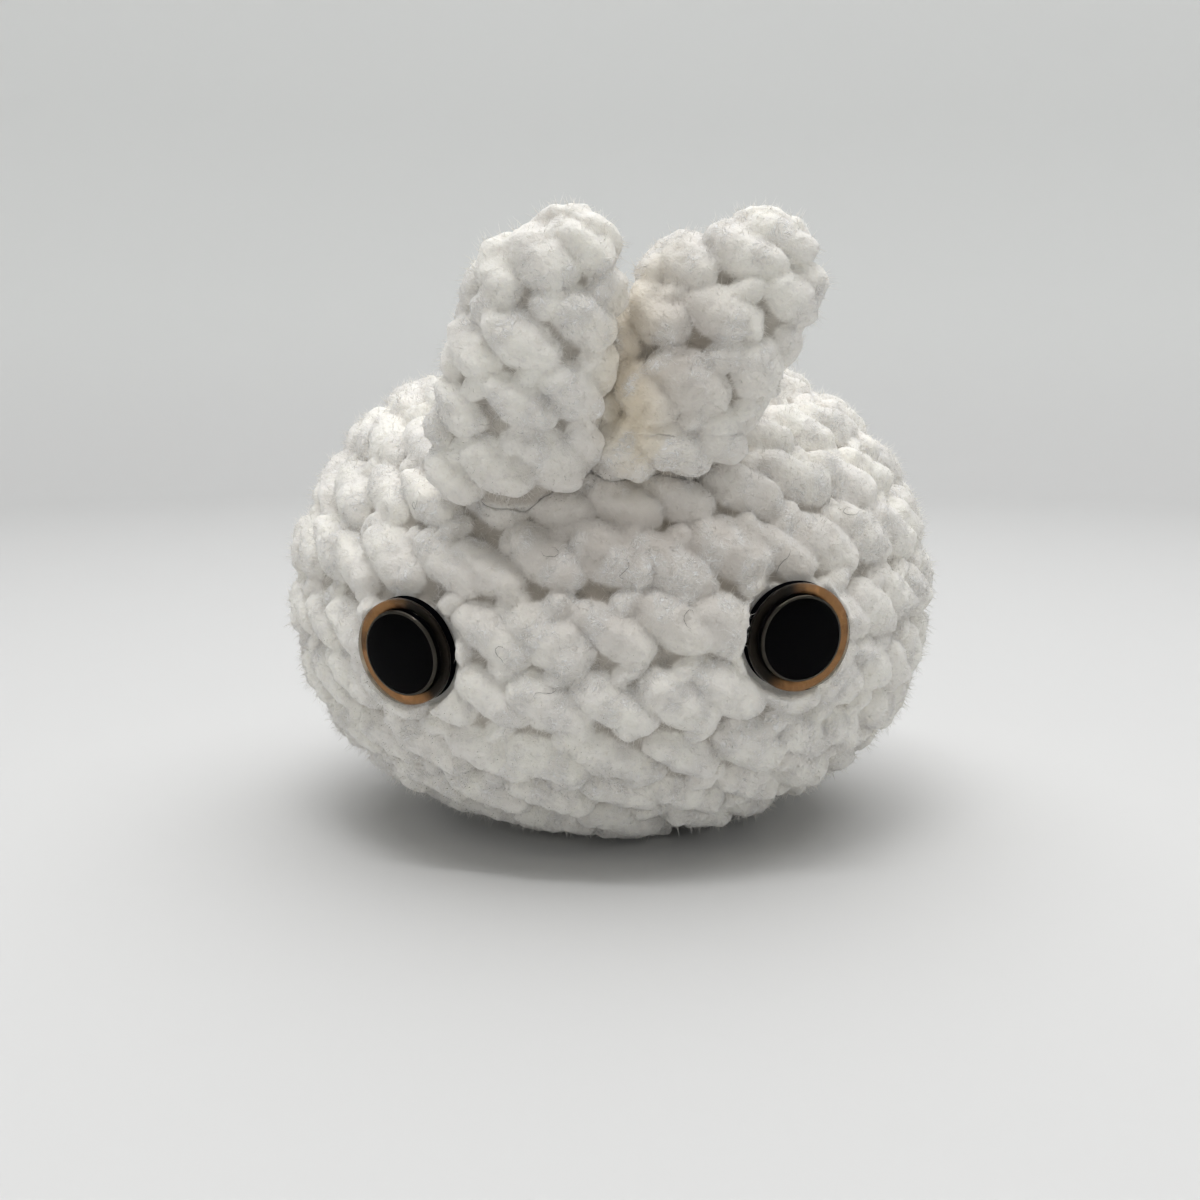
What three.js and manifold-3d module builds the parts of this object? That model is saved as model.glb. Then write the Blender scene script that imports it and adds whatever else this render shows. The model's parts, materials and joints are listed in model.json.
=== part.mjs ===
// A palm-sized crocheted bunny: a stuffed ball worked in a spiral of rounds, two sewn-on ears,
// a small tail and two safety eyes on ribbed stems with locking washers inside.
// Millimetres, +Z up, the face looks along -Y. The origin is the centre of the flat underside.
// Left and right are the viewer's. An azimuth is counted from the face towards +X.
import * as THREE from 'three';
import { mergeVertices } from 'three/addons/utils/BufferGeometryUtils.js';
import Module from 'manifold-3d';

const wasm = await Module();
wasm.setup();

// Crochet fabric in bulky chenille yarn
const FABRIC_THICKNESS = 6;
const STITCH_SWELL = 0.9;
const GROOVE_DEPTH = 1.1;
const SAMPLES_PER_STITCH = 3;
const POLE_ROWS = 1.5;
const STITCH_LEAN_SHARE = -0.2;
const CREST_FULLNESS_SHARES = { between: 0.3, middle: 1 };
const GROOVE_FULLNESS_SHARES = { between: 0, middle: 0.2 };
const SOFT_CLEARANCE = 0.3;

// Body, measured over the stitches
const BODY_WIDTH = 80;
const BODY_HEIGHT = 60;
const BODY_WIDEST_HEIGHT = 28;
const FLAT_CUT_DEPTH = 0.5;
const SETTLED_HEIGHT = 3;
const BODY_ROUNDS = 13;
const WIDEST_STITCHES = 36;
const ROUND_INCREASE = 6;
const UPPER_FULLNESS_SHARE = 2.2;
const LOWER_FULLNESS_SHARE = 2.15;
const BODY_START_TURN = 0.402;

// Ears: each leans and swells in its own way
const EAR_BASE_THICKNESS = 9.2;
const EAR_THICKNESS = 10.6;
const EAR_SEAT_HEIGHT = 45;
const EAR_SEAT_LIFT = 3.6;
const EAR_FADE_LENGTH = 4;
const EAR_TIP_POWER = 7;
const EAR_BASE_ARC_SHARE = 0.25;
const EAR_THICKNESS_SHARES = [0.87, 1, 1, 0.93, 0.8];
const EAR_ROUNDS = 4;
const EAR_STITCHES = 7;
const LEFT_EAR_LENGTH = 27.6;
const LEFT_EAR_BASE_WIDTH = 16;
const LEFT_EAR_WIDTH = 17.6;
const LEFT_EAR_TIP_DRIFT = 6.8;
const RIGHT_EAR_RAISE = 3;
const RIGHT_EAR_LENGTH = 24.4;
const RIGHT_EAR_BASE_WIDTH = 13.8;
const RIGHT_EAR_WIDTH = 21;
const RIGHT_EAR_TIP_DRIFT = 9.8;
const EARS = [
  {
    name: 'left_ear',
    azimuthDeg: -17.6,
    seatHeight: EAR_SEAT_HEIGHT,
    facingDeg: -13,
    tiltDeg: 14,
    length: LEFT_EAR_LENGTH,
    baseWidth: LEFT_EAR_BASE_WIDTH,
    width: LEFT_EAR_WIDTH,
    widthShares: [0.91, 1, 0.92, 0.88, 0.8],
    tipDrift: LEFT_EAR_TIP_DRIFT,
    driftPower: 1.4,
  },
  {
    name: 'right_ear',
    azimuthDeg: 9.8,
    seatHeight: EAR_SEAT_HEIGHT + RIGHT_EAR_RAISE,
    facingDeg: 7,
    tiltDeg: 9,
    length: RIGHT_EAR_LENGTH,
    baseWidth: RIGHT_EAR_BASE_WIDTH,
    width: RIGHT_EAR_WIDTH,
    widthShares: [0.657, 0.74, 0.92, 1.02, 1],
    tipDrift: RIGHT_EAR_TIP_DRIFT,
    driftPower: 1.2,
  },
];

// Tail: a small ball pressed against the back
const TAIL_WIDTH = 17;
const TAIL_HEIGHT = 24;
const TAIL_AZIMUTH_DEG = 180;
const TAIL_SINK = 3.5;
const TAIL_ROUNDS = 4;
const TAIL_STITCHES = 9;

// Safety eyes
const EYE_WIDTH = 12;
const EYE_FLANGE_THICKNESS = 0.9;
const EYE_RIM_HEIGHT = 0.7;
const EYE_DOME_HEIGHT = 2.2;
const PUPIL_WIDTH = 9.2;
const PUPIL_HEIGHT = 1.3;
const PUPIL_EDGE_ROUND = 0.5;
const IRIS_THICKNESS = 0.4;
const IRIS_BORDER = 0.3;
const EYE_GAP = 0.2;
const EYE_SEAT_DEPTH = 1;
const STEM_WIDTH = 4;
const STEM_LENGTH = 13;
const STEM_TIP_WIDTH = 2;
const STEM_TIP_LENGTH = 1.5;
const RIB_COUNT = 7;
const RIB_PITCH = 1.4;
const RIB_DEPTH = 0.3;
const WASHER_WIDTH = 11;
const WASHER_THICKNESS = 1.2;
const COLLAR_WIDTH = 7;
const COLLAR_HEIGHT = 1.6;
const FABRIC_SQUEEZE = 0.6;
const EYE_SEGMENTS = 24;
const EYE_HEIGHT = 26.3;
const RIGHT_EYE_RAISE = 1.9;
const EYES = [
  { name: 'left_eye', azimuthDeg: -35.3, height: EYE_HEIGHT, facingDeg: -33, tiltDeg: -8 },
  {
    name: 'right_eye',
    azimuthDeg: 30.9,
    height: EYE_HEIGHT + RIGHT_EYE_RAISE,
    facingDeg: 22,
    tiltDeg: -5,
  },
];

// Faces of the smooth inner forms
const ROUND_SEGMENTS = 24;
const PROFILE_STEPS = 10;
const DOME_STEPS = 6;
const OVERRUN = 1;
const NUDGE_SHARE = 1e-4;

// Half of a squat ball's outline, from its lower pole to its upper pole
class BallProfile extends THREE.Curve {
  constructor(radius, lower, upper, middle) {
    super();
    this.radius = radius;
    this.lower = { rise: lower, power: 2 / LOWER_FULLNESS_SHARE };
    this.upper = { rise: upper, power: 2 / UPPER_FULLNESS_SHARE };
    this.middle = middle;
    this.arcLengthDivisions = 400;
  }

  getPoint(t, target = new THREE.Vector2()) {
    const angle = Math.PI * (t - 0.5);
    const half = angle > 0 ? this.upper : this.lower;
    const reach = Math.max(Math.cos(angle), 0) ** half.power;
    const climb = Math.sign(angle) * Math.abs(Math.sin(angle)) ** half.power;
    return target.set(this.radius * reach, this.middle + half.rise * climb);
  }

  radiusAt(height) {
    const above = height - this.middle;
    const { rise, power } = above > 0 ? this.upper : this.lower;
    const climb = Math.min(Math.abs(above) / rise, 1) ** (2 / power);
    return this.radius * (1 - climb) ** (power / 2);
  }
}

// An ear's outline seen from the front, from the rounded base below its hinge to its tip
class EarProfile extends THREE.Curve {
  constructor(ear) {
    super();
    this.ear = ear;
    this.widths = shareCurve(ear.widthShares);
    this.thicknesses = shareCurve(EAR_THICKNESS_SHARES);
    this.arcLengthDivisions = 200;
  }

  section(t) {
    if (t < EAR_BASE_ARC_SHARE) {
      const angle = (t / EAR_BASE_ARC_SHARE) * Math.PI / 2;
      return {
        length: -EAR_BASE_THICKNESS / 2 * Math.cos(angle),
        halfWidth: this.ear.baseWidth / 2 * Math.sin(angle),
        halfThickness: EAR_BASE_THICKNESS / 2 * Math.sin(angle),
      };
    }
    const up = (t - EAR_BASE_ARC_SHARE) / (1 - EAR_BASE_ARC_SHARE);
    const share = 1 - (1 - up) ** 2;
    const closing = Math.sqrt(Math.max(1 - share ** EAR_TIP_POWER, 0));
    return {
      length: this.ear.length * share,
      halfWidth: this.ear.width / 2 * this.widths(share) * closing,
      halfThickness: EAR_THICKNESS / 2 * this.thicknesses(share) * closing,
    };
  }

  getPoint(t, target = new THREE.Vector2()) {
    const { length, halfWidth } = this.section(t);
    return target.set(halfWidth, length);
  }
}

// A smooth function through evenly spaced shares
function shareCurve(shares) {
  const last = shares.length - 1;
  const curve = new THREE.SplineCurve(shares.map((share, i) => new THREE.Vector2(i / last, share)));
  return (t) => curve.getPoint(THREE.MathUtils.clamp(t, 0, 1)).y;
}

// One closed mesh with shared corners, without the faces that shrink to a line at a pole
function welded(geometry) {
  const bare = geometry.clone();
  bare.deleteAttribute('normal');
  bare.deleteAttribute('uv');
  const merged = mergeVertices(bare);
  const corners = merged.index.array;
  const kept = [];
  for (let i = 0; i < corners.length; i += 3) {
    const [a, b, c] = corners.slice(i, i + 3);
    if (a !== b && b !== c && c !== a) kept.push(a, b, c);
  }
  merged.setIndex(kept);
  return merged;
}

function toSolid(geometry) {
  const mesh = welded(geometry);
  return new wasm.Manifold(new wasm.Mesh({
    numProp: 3,
    vertProperties: Float32Array.from(mesh.attributes.position.array),
    triVerts: Uint32Array.from(mesh.index.array),
  }));
}

function toGeometry(solid) {
  const mesh = solid.getMesh();
  const geometry = new THREE.BufferGeometry();
  geometry.setAttribute('position', new THREE.BufferAttribute(mesh.vertProperties, 3));
  geometry.setIndex(new THREE.BufferAttribute(mesh.triVerts, 1));
  geometry.computeVertexNormals();
  return geometry;
}

// A solid of revolution about Z; its outline runs counter-clockwise in radius and height
function revolved(outline, segments) {
  const points = outline.map(([radius, height]) => new THREE.Vector2(radius, height));
  return welded(new THREE.LatheGeometry(points, segments).rotateX(Math.PI / 2));
}

function cylinder(radius, bottom, top, segments) {
  return revolved([[0, bottom], [radius, bottom], [radius, top], [0, top]], segments);
}

// Joins a row of the spiral to the row above it, which may lie some turns further on
function zip(lower, upper, turnsApart, faces) {
  let i = 0;
  let j = 0;
  while (i < lower.length - 1 || j < upper.length - 1) {
    const upperDone = j === upper.length - 1;
    const lowerFirst = () => lower[i + 1].turn <= upper[j + 1].turn - turnsApart;
    if (i < lower.length - 1 && (upperDone || lowerFirst())) {
      faces.push(lower[i].id, lower[i + 1].id, upper[j].id);
      i += 1;
    } else {
      faces.push(lower[i].id, upper[j + 1].id, upper[j].id);
      j += 1;
    }
  }
}

// A closed fabric crocheted in one spiral, with counts[r] stitches in round r. surface(turn, along)
// is a point of the mean surface; relief(point) is the share of full stitch relief it has there.
function crocheted(counts, surface, relief = () => 1, grown = 0) {
  const rounds = counts.length;
  const lastRow = rounds + POLE_ROWS;
  const positions = [];
  const faces = [];

  function put(turn, row, lift) {
    const along = row / lastRow;
    const point = surface(turn, along);
    const sideways = surface(turn + NUDGE_SHARE, along).sub(point);
    const upwards = surface(turn, along + NUDGE_SHARE).sub(point);
    const outwards = sideways.cross(upwards).normalize();
    point.addScaledVector(outwards, lift * relief(point) + grown);
    positions.push(point.x, point.y, point.z);
    return { id: positions.length / 3 - 1, turn, row };
  }

  // One corner of the spiral for each step: a stitch's middle or the dip between two stitches
  function spiral(rowOffset, fullness, lean) {
    const corners = [];
    for (let round = 0; round <= rounds; round += 1) {
      const stitches = counts[Math.min(round, rounds - 1)];
      const samples = round < rounds ? stitches * SAMPLES_PER_STITCH : 1;
      for (let k = 0; k < samples; k += 1) {
        const turn = round + k / (stitches * SAMPLES_PER_STITCH);
        const share = k % SAMPLES_PER_STITCH === 0 ? fullness.between : fullness.middle;
        const lift = (STITCH_SWELL + GROOVE_DEPTH) * share - GROOVE_DEPTH;
        corners.push({ ...put(turn + lean / stitches, turn + rowOffset, lift), turn });
      }
    }
    return corners;
  }

  const grooves = spiral(0.5, GROOVE_FULLNESS_SHARES, 0);
  const crests = spiral(1, CREST_FULLNESS_SHARES, STITCH_LEAN_SHARE);
  const between = (corners, from, to) => corners.filter(({ turn }) => turn >= from && turn <= to);
  zip(grooves, crests, 0, faces);
  zip(between(crests, 0, rounds - 1), between(grooves, 1, rounds), 1, faces);

  // Closes the spiral's open end: a ring of corners half way to the pole, then a fan
  function closeEnd(rim, poleRow) {
    const ring = rim.map(({ turn, row }) => put(turn, (row + poleRow) / 2, 0).id);
    const pole = put(0, poleRow, 0).id;
    rim.forEach(({ id }, k) => {
      const next = (k + 1) % rim.length;
      faces.push(id, rim[next].id, ring[k], rim[next].id, ring[next], ring[k]);
      faces.push(ring[k], ring[next], pole);
    });
  }
  closeEnd([crests[0], ...between(grooves, 0, 1).reverse()], 0);
  closeEnd([grooves.at(-1), ...between(crests, rounds - 1, rounds)], lastRow * (1 - NUDGE_SHARE));

  const geometry = new THREE.BufferGeometry();
  geometry.setAttribute('position', new THREE.Float32BufferAttribute(positions, 3));
  geometry.setIndex(faces);
  return geometry;
}

// Places on the body
const bodyProfile = new BallProfile(
  BODY_WIDTH / 2 - STITCH_SWELL,
  BODY_WIDEST_HEIGHT + FLAT_CUT_DEPTH,
  BODY_HEIGHT - BODY_WIDEST_HEIGHT - STITCH_SWELL,
  BODY_WIDEST_HEIGHT,
);

function heading(azimuthDeg, elevationDeg) {
  const azimuth = THREE.MathUtils.degToRad(azimuthDeg);
  const elevation = THREE.MathUtils.degToRad(elevationDeg);
  const level = Math.cos(elevation);
  return new THREE.Vector3(Math.sin(azimuth) * level, -Math.cos(azimuth) * level, Math.sin(elevation));
}

function onBody(azimuthDeg, height) {
  return heading(azimuthDeg, 0).multiplyScalar(bodyProfile.radiusAt(height)).setZ(height);
}

// The body's outward direction at a height, from two close points of its outline
function bodyNormal(azimuthDeg, height) {
  const step = BODY_HEIGHT * NUDGE_SHARE;
  const narrowing = bodyProfile.radiusAt(height - step) - bodyProfile.radiusAt(height + step);
  return heading(azimuthDeg, THREE.MathUtils.radToDeg(Math.atan2(narrowing, 2 * step)));
}

function placed(position, direction) {
  const group = new THREE.Group();
  group.position.copy(position);
  group.quaternion.setFromUnitVectors(new THREE.Vector3(0, 0, 1), direction);
  group.updateMatrixWorld();
  return group;
}

function inPlace(geometry, group) {
  return toSolid(geometry.clone().applyMatrix4(group.matrixWorld));
}

// Body
function bodySurface(turn, along) {
  const clipped = Math.min(along, 1);
  const angle = 2 * Math.PI * (turn + BODY_START_TURN);
  const { x: radius, y: height } = bodyProfile.getPointAt(clipped);
  return new THREE.Vector3(radius * Math.cos(angle), radius * Math.sin(angle), height);
}

function bodyOutside(grown) {
  const counts = Array.from({ length: BODY_ROUNDS }, (_, round) => {
    const worked = Math.min(round + 1, BODY_ROUNDS - round);
    return Math.min(worked * ROUND_INCREASE, WIDEST_STITCHES);
  });
  const settling = (point) => THREE.MathUtils.smoothstep(point.z, 0, SETTLED_HEIGHT);
  return toSolid(crocheted(counts, bodySurface, settling, grown));
}

// The smooth ball that lies this deep under the mean surface
function bodyInside(depth) {
  const { radius, lower, upper, middle } = bodyProfile;
  const inner = new BallProfile(radius - depth, lower.rise - depth, upper.rise - depth, middle);
  const outline = inner.getSpacedPoints(PROFILE_STEPS).map(({ x, y }) => [x, y]);
  return toSolid(revolved(outline, ROUND_SEGMENTS));
}

function belowFloor() {
  const slab = new THREE.BoxGeometry(BODY_WIDTH, BODY_WIDTH, BODY_WIDEST_HEIGHT);
  return toSolid(slab.translate(0, 0, -BODY_WIDEST_HEIGHT / 2));
}

// Ears
function earGeometry(ear) {
  const profile = new EarProfile(ear);
  const surface = (turn, along) => {
    const t = profile.getUtoTmapping(THREE.MathUtils.clamp(along, 0, 1));
    const { length, halfWidth, halfThickness } = profile.section(t);
    const drift = ear.tipDrift * Math.max(length / ear.length, 0) ** ear.driftPower;
    const angle = 2 * Math.PI * (turn + BODY_START_TURN);
    return new THREE.Vector3(
      drift + halfWidth * Math.cos(angle),
      halfThickness * Math.sin(angle),
      length,
    );
  };
  const counts = Array(EAR_ROUNDS).fill(EAR_STITCHES);
  const fading = (point) => THREE.MathUtils.smoothstep(point.z, 0, EAR_FADE_LENGTH);
  return crocheted(counts, surface, fading);
}

function earGroup(ear) {
  const group = new THREE.Group();
  group.position.copy(onBody(ear.azimuthDeg, ear.seatHeight));
  group.position.addScaledVector(bodyNormal(ear.azimuthDeg, ear.seatHeight), EAR_SEAT_LIFT);
  const [tilt, yaw] = [ear.tiltDeg, ear.facingDeg].map(THREE.MathUtils.degToRad);
  group.rotation.set(tilt, 0, yaw, 'ZYX');
  group.updateMatrixWorld();
  return group;
}

// The hollow that an ear's rounded base turns in: a ball stretched along the hinge
function earSocket(ear) {
  const ball = new THREE.SphereGeometry(1, ROUND_SEGMENTS, ROUND_SEGMENTS / 2).rotateZ(Math.PI / 2);
  const reach = EAR_BASE_THICKNESS / 2 + SOFT_CLEARANCE;
  return ball.scale(ear.baseWidth / 2 + SOFT_CLEARANCE, reach, reach);
}

// Tail
function tailGeometry() {
  const radius = TAIL_WIDTH / 2 - STITCH_SWELL;
  const surface = (turn, along) => new THREE.Vector3().setFromSphericalCoords(
    radius,
    Math.PI * (1 - Math.min(along, 1)),
    2 * Math.PI * turn,
  ).applyAxisAngle(new THREE.Vector3(1, 0, 0), Math.PI / 2);
  return crocheted(Array(TAIL_ROUNDS).fill(TAIL_STITCHES), surface);
}

// Eyes: every piece turns about the stem, and the flange's back lies at height 0
const eyeRadius = EYE_WIDTH / 2;
const pupilRadius = PUPIL_WIDTH / 2;
const stemRadius = STEM_WIDTH / 2;
const irisBottom = EYE_FLANGE_THICKNESS + EYE_GAP;
const irisTop = irisBottom + IRIS_THICKNESS;
const irisRadius = eyeRadius - IRIS_BORDER - EYE_GAP;
const pupilTop = EYE_FLANGE_THICKNESS + PUPIL_HEIGHT;
const washerTop = EYE_SEAT_DEPTH + FABRIC_SQUEEZE - FABRIC_THICKNESS;
const washerBottom = washerTop - WASHER_THICKNESS;

// A quarter of an ellipse from its widest point up to its top, without its first point
function quarterArc(centreRadius, bottom, reach, rise, steps) {
  return Array.from({ length: steps }, (_, i) => {
    const angle = ((i + 1) / steps) * Math.PI / 2;
    return [centreRadius + reach * Math.cos(angle), bottom + rise * Math.sin(angle)];
  });
}

function eyeShank() {
  const tipTop = STEM_TIP_LENGTH - STEM_LENGTH;
  const outline = [[0, -STEM_LENGTH], [STEM_TIP_WIDTH / 2, -STEM_LENGTH]];
  for (let rib = 0; rib < RIB_COUNT; rib += 1) {
    const foot = tipTop + rib * RIB_PITCH;
    outline.push([stemRadius - RIB_DEPTH, foot], [stemRadius, foot + RIB_PITCH / 2]);
  }
  outline.push([stemRadius - RIB_DEPTH, tipTop + RIB_COUNT * RIB_PITCH], [stemRadius - RIB_DEPTH, 0]);
  outline.push([eyeRadius, 0], [eyeRadius, EYE_FLANGE_THICKNESS], [pupilRadius, EYE_FLANGE_THICKNESS]);
  const edgeBottom = pupilTop - PUPIL_EDGE_ROUND;
  outline.push([pupilRadius, edgeBottom]);
  outline.push(...quarterArc(0, edgeBottom, pupilRadius, PUPIL_EDGE_ROUND, DOME_STEPS));
  return revolved(outline, EYE_SEGMENTS);
}

function eyeIris() {
  const inner = pupilRadius + EYE_GAP;
  const outline = [
    [inner, irisBottom], [irisRadius, irisBottom], [irisRadius, irisTop], [inner, irisTop],
    [inner, irisBottom],
  ];
  return revolved(outline, EYE_SEGMENTS);
}

function eyeLens() {
  const rimBottom = EYE_FLANGE_THICKNESS + EYE_GAP;
  const rimTop = EYE_FLANGE_THICKNESS + EYE_RIM_HEIGHT;
  const wellRadius = pupilRadius + EYE_GAP;
  const edgeBottom = pupilTop - PUPIL_EDGE_ROUND + EYE_GAP;
  const ceiling = quarterArc(0, edgeBottom, wellRadius, PUPIL_EDGE_ROUND, DOME_STEPS).reverse();
  const outline = [
    ...ceiling, [wellRadius, edgeBottom], [wellRadius, irisTop + EYE_GAP],
    [irisRadius + EYE_GAP, irisTop + EYE_GAP], [irisRadius + EYE_GAP, rimBottom],
    [eyeRadius, rimBottom], [eyeRadius, rimTop],
    ...quarterArc(0, rimTop, eyeRadius, EYE_DOME_HEIGHT, DOME_STEPS),
  ];
  return revolved(outline, EYE_SEGMENTS);
}

function eyeWasher() {
  const hole = stemRadius + EYE_GAP;
  const collarBottom = washerBottom - COLLAR_HEIGHT;
  const outline = [
    [hole, collarBottom], [COLLAR_WIDTH / 2, collarBottom], [COLLAR_WIDTH / 2, washerBottom],
    [WASHER_WIDTH / 2, washerBottom], [WASHER_WIDTH / 2, washerTop], [hole, washerTop],
    [hole, collarBottom],
  ];
  return revolved(outline, EYE_SEGMENTS);
}

function eyeGroup(eye) {
  const direction = heading(eye.facingDeg, eye.tiltDeg);
  const position = onBody(eye.azimuthDeg, eye.height);
  position.addScaledVector(bodyNormal(eye.azimuthDeg, eye.height), -EYE_SEAT_DEPTH);
  return placed(position, direction);
}

// What an eye takes out of the fabric: its seat outside, its stem's hole and the washer's seat
function eyeCuts() {
  const outerSeat = cylinder(eyeRadius + SOFT_CLEARANCE, -SOFT_CLEARANCE, STEM_LENGTH, ROUND_SEGMENTS);
  const hole = cylinder(stemRadius + SOFT_CLEARANCE, -STEM_LENGTH, OVERRUN, EYE_SEGMENTS);
  const seatRadius = WASHER_WIDTH / 2 + SOFT_CLEARANCE;
  const washerSeat = cylinder(seatRadius, -STEM_LENGTH, washerTop + SOFT_CLEARANCE, ROUND_SEGMENTS);
  return [outerSeat, hole, washerSeat];
}

// What it takes out of the stuffing: a pocket for the washer and one for the stem's end
function eyePockets() {
  const pocketRadius = WASHER_WIDTH / 2 + SOFT_CLEARANCE;
  const pocketBottom = washerBottom - COLLAR_HEIGHT - SOFT_CLEARANCE;
  const washerPocket = cylinder(pocketRadius, pocketBottom, OVERRUN, ROUND_SEGMENTS);
  const stemBottom = -STEM_LENGTH - SOFT_CLEARANCE;
  const stemPocket = cylinder(stemRadius + SOFT_CLEARANCE, stemBottom, OVERRUN, EYE_SEGMENTS);
  return [washerPocket, stemPocket];
}

// Materials
function material(color, roughness, options = {}) {
  return new THREE.MeshStandardMaterial({ color, roughness, metalness: 0, flatShading: true, ...options });
}

const chenille = material(0xe6e4e0, 0.95);
const stuffing = material(0xf2f2f0, 1);
const blackPlastic = material(0x050506, 0.12);
const copperFoil = material(0xa8672f, 0.3, { metalness: 0.8 });
const clearPlastic = material(0xc08850, 0.05, { transparent: true, opacity: 0.35 });
const washerPlastic = material(0xeceae2, 0.5);

function named(name, geometry, itsMaterial) {
  const mesh = new THREE.Mesh(geometry, itsMaterial.clone());
  mesh.name = name;
  return mesh;
}

// Assembly
const bunny = new THREE.Group();
const earGroups = EARS.map(earGroup);
const eyeGroups = EYES.map(eyeGroup);
const tailGroup = placed(onBody(TAIL_AZIMUTH_DEG, TAIL_HEIGHT), heading(TAIL_AZIMUTH_DEG, 0));
tailGroup.translateZ(TAIL_WIDTH / 2 - TAIL_SINK);
tailGroup.updateMatrixWorld();

const shellCuts = [
  bodyInside(FABRIC_THICKNESS),
  belowFloor(),
  ...EARS.map((ear, i) => inPlace(earSocket(ear), earGroups[i])),
  ...eyeGroups.flatMap((group) => eyeCuts().map((cut) => inPlace(cut, group))),
];
const shell = shellCuts.reduce((solid, cut) => solid.subtract(cut), bodyOutside(0));
bunny.add(named('body_shell', toGeometry(shell), chenille));

const fillingCuts = eyeGroups.flatMap((group) => eyePockets().map((cut) => inPlace(cut, group)));
const fillingBall = bodyInside(FABRIC_THICKNESS + SOFT_CLEARANCE);
const filling = fillingCuts.reduce((solid, cut) => solid.subtract(cut), fillingBall);
bunny.add(named('body_filling', toGeometry(filling), stuffing));

const tail = inPlace(tailGeometry(), tailGroup).subtract(bodyOutside(SOFT_CLEARANCE));
bunny.add(named('tail', toGeometry(tail), chenille));

EARS.forEach((ear, i) => {
  earGroups[i].add(named(ear.name, welded(earGeometry(ear)), chenille));
  bunny.add(earGroups[i]);
});

EYES.forEach((eye, i) => {
  eyeGroups[i].add(
    named(`${eye.name}_lens`, eyeLens(), clearPlastic),
    named(`${eye.name}_iris`, eyeIris(), copperFoil),
    named(`${eye.name}_shank`, eyeShank(), blackPlastic),
    named(`${eye.name}_washer`, eyeWasher(), washerPlastic),
  );
  bunny.add(eyeGroups[i]);
});

export default bunny;
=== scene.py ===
import json
import math

import bpy
import numpy as np
from bpy.props import FloatProperty, FloatVectorProperty, IntProperty, PointerProperty
from bpy.types import Operator, Panel, PropertyGroup
from mathutils import Matrix, Vector
from mathutils.bvhtree import BVHTree


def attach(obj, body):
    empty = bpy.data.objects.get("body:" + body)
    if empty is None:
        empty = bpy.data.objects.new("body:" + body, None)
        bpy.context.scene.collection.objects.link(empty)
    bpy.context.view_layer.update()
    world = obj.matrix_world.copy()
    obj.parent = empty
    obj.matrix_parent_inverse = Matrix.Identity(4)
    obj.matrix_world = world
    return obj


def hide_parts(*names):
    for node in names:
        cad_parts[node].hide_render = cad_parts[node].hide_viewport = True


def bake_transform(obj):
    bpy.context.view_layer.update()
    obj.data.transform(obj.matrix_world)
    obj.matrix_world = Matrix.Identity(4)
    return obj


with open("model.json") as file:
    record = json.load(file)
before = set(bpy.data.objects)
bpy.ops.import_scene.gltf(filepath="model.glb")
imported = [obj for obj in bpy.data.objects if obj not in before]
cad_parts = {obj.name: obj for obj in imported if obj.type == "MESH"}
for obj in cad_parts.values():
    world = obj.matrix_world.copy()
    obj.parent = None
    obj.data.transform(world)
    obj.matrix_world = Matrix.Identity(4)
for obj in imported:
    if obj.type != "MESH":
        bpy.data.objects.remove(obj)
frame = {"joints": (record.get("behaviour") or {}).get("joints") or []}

bl_info = {
    "name": "Crochet Bunny",
    "version": (1, 0, 0),
    "blender": (4, 5, 0),
    "location": "View3D > Sidebar > Bunny",
    "description": "Crochets a stuffed chenille bunny stitch by stitch round its solid frame",
    "category": "Add Mesh",
}

MM = 0.001
TAU = 2 * math.pi
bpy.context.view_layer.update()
JOINTS = {joint["name"]: joint for joint in frame["joints"]}

SIDES = ("left", "right")
# Seeds of each piece's random draws, and of the patches where all pile is matted
SEEDS = {
    "matted": 3,
    "body_fabric": 11,
    "body_fuzz": 12,
    "body_curls": 13,
    "body_lint": 14,
    "left_ear_fabric": 21,
    "right_ear_fabric": 22,
    "left_ear_fuzz": 31,
    "right_ear_fuzz": 32,
    "left_ear_curls": 33,
    "right_ear_curls": 34,
    "tail_fabric": 41,
    "tail_fuzz": 42,
}

# Rows of the spiral that are taken up by closing its two ends
POLE_ROWS = 1.5
# Rows at each end of the spiral where the stitches are drawn together into one lump
GATHERED_ROWS = 0.9
# Share of the way from pole to pole that the mesh's first and last ring leave out
POLE_SHARE = 0.01
OUTLINE_STEPS = 400
SPAN_STEPS = 200
REVOLVE_SIDES = 96
HOLE_SIDES = 48
# Points of a rounded corner, and what an edge's length is divided by for the most that one takes
ROUNDING_STEPS = 4
ROUNDING_LIMIT = 2.1
# Places whose stitches are worked out at a time
CHUNK = 8000
# Lengths under this count as none
TINY = 1e-12

# The two loops that show of each stitch: places along the loop as shares of the stitch's width and
# the row's height, and the loop's girth there as a share of the yarn's radius
LOWER_LOOP_SHARES = (
    (-0.40, 0.14, 0.80),
    (-0.20, 0.03, 0.98),
    (0.02, -0.10, 1.04),
    (0.23, -0.21, 0.96),
    (0.39, -0.29, 0.78),
)
UPPER_LOOP_SHARES = (
    (0.15, 0.29, 0.62),
    (0.25, 0.37, 0.70),
    (0.35, 0.45, 0.60),
)
LOOP_STEPS = 7

# Slow waves: how many are summed, what their sum is divided by, and the lengths of those that bend
# the creases, open them and mat the pile
WAVE_COUNT = 6
WAVE_DIVISOR = 2.5
WANDER_WAVE = 9 * MM
OPENNESS_WAVE = 12 * MM
MATTED_WAVE = 11 * MM
MATTED_STRENGTH = 1.6
# How far the creases open: middle, swing and most
OPENNESS = (0.55, 0.6, 1.2)
# Level given to a stitch that is already counted, under all others
FAR_BELOW = -1.0
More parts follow.
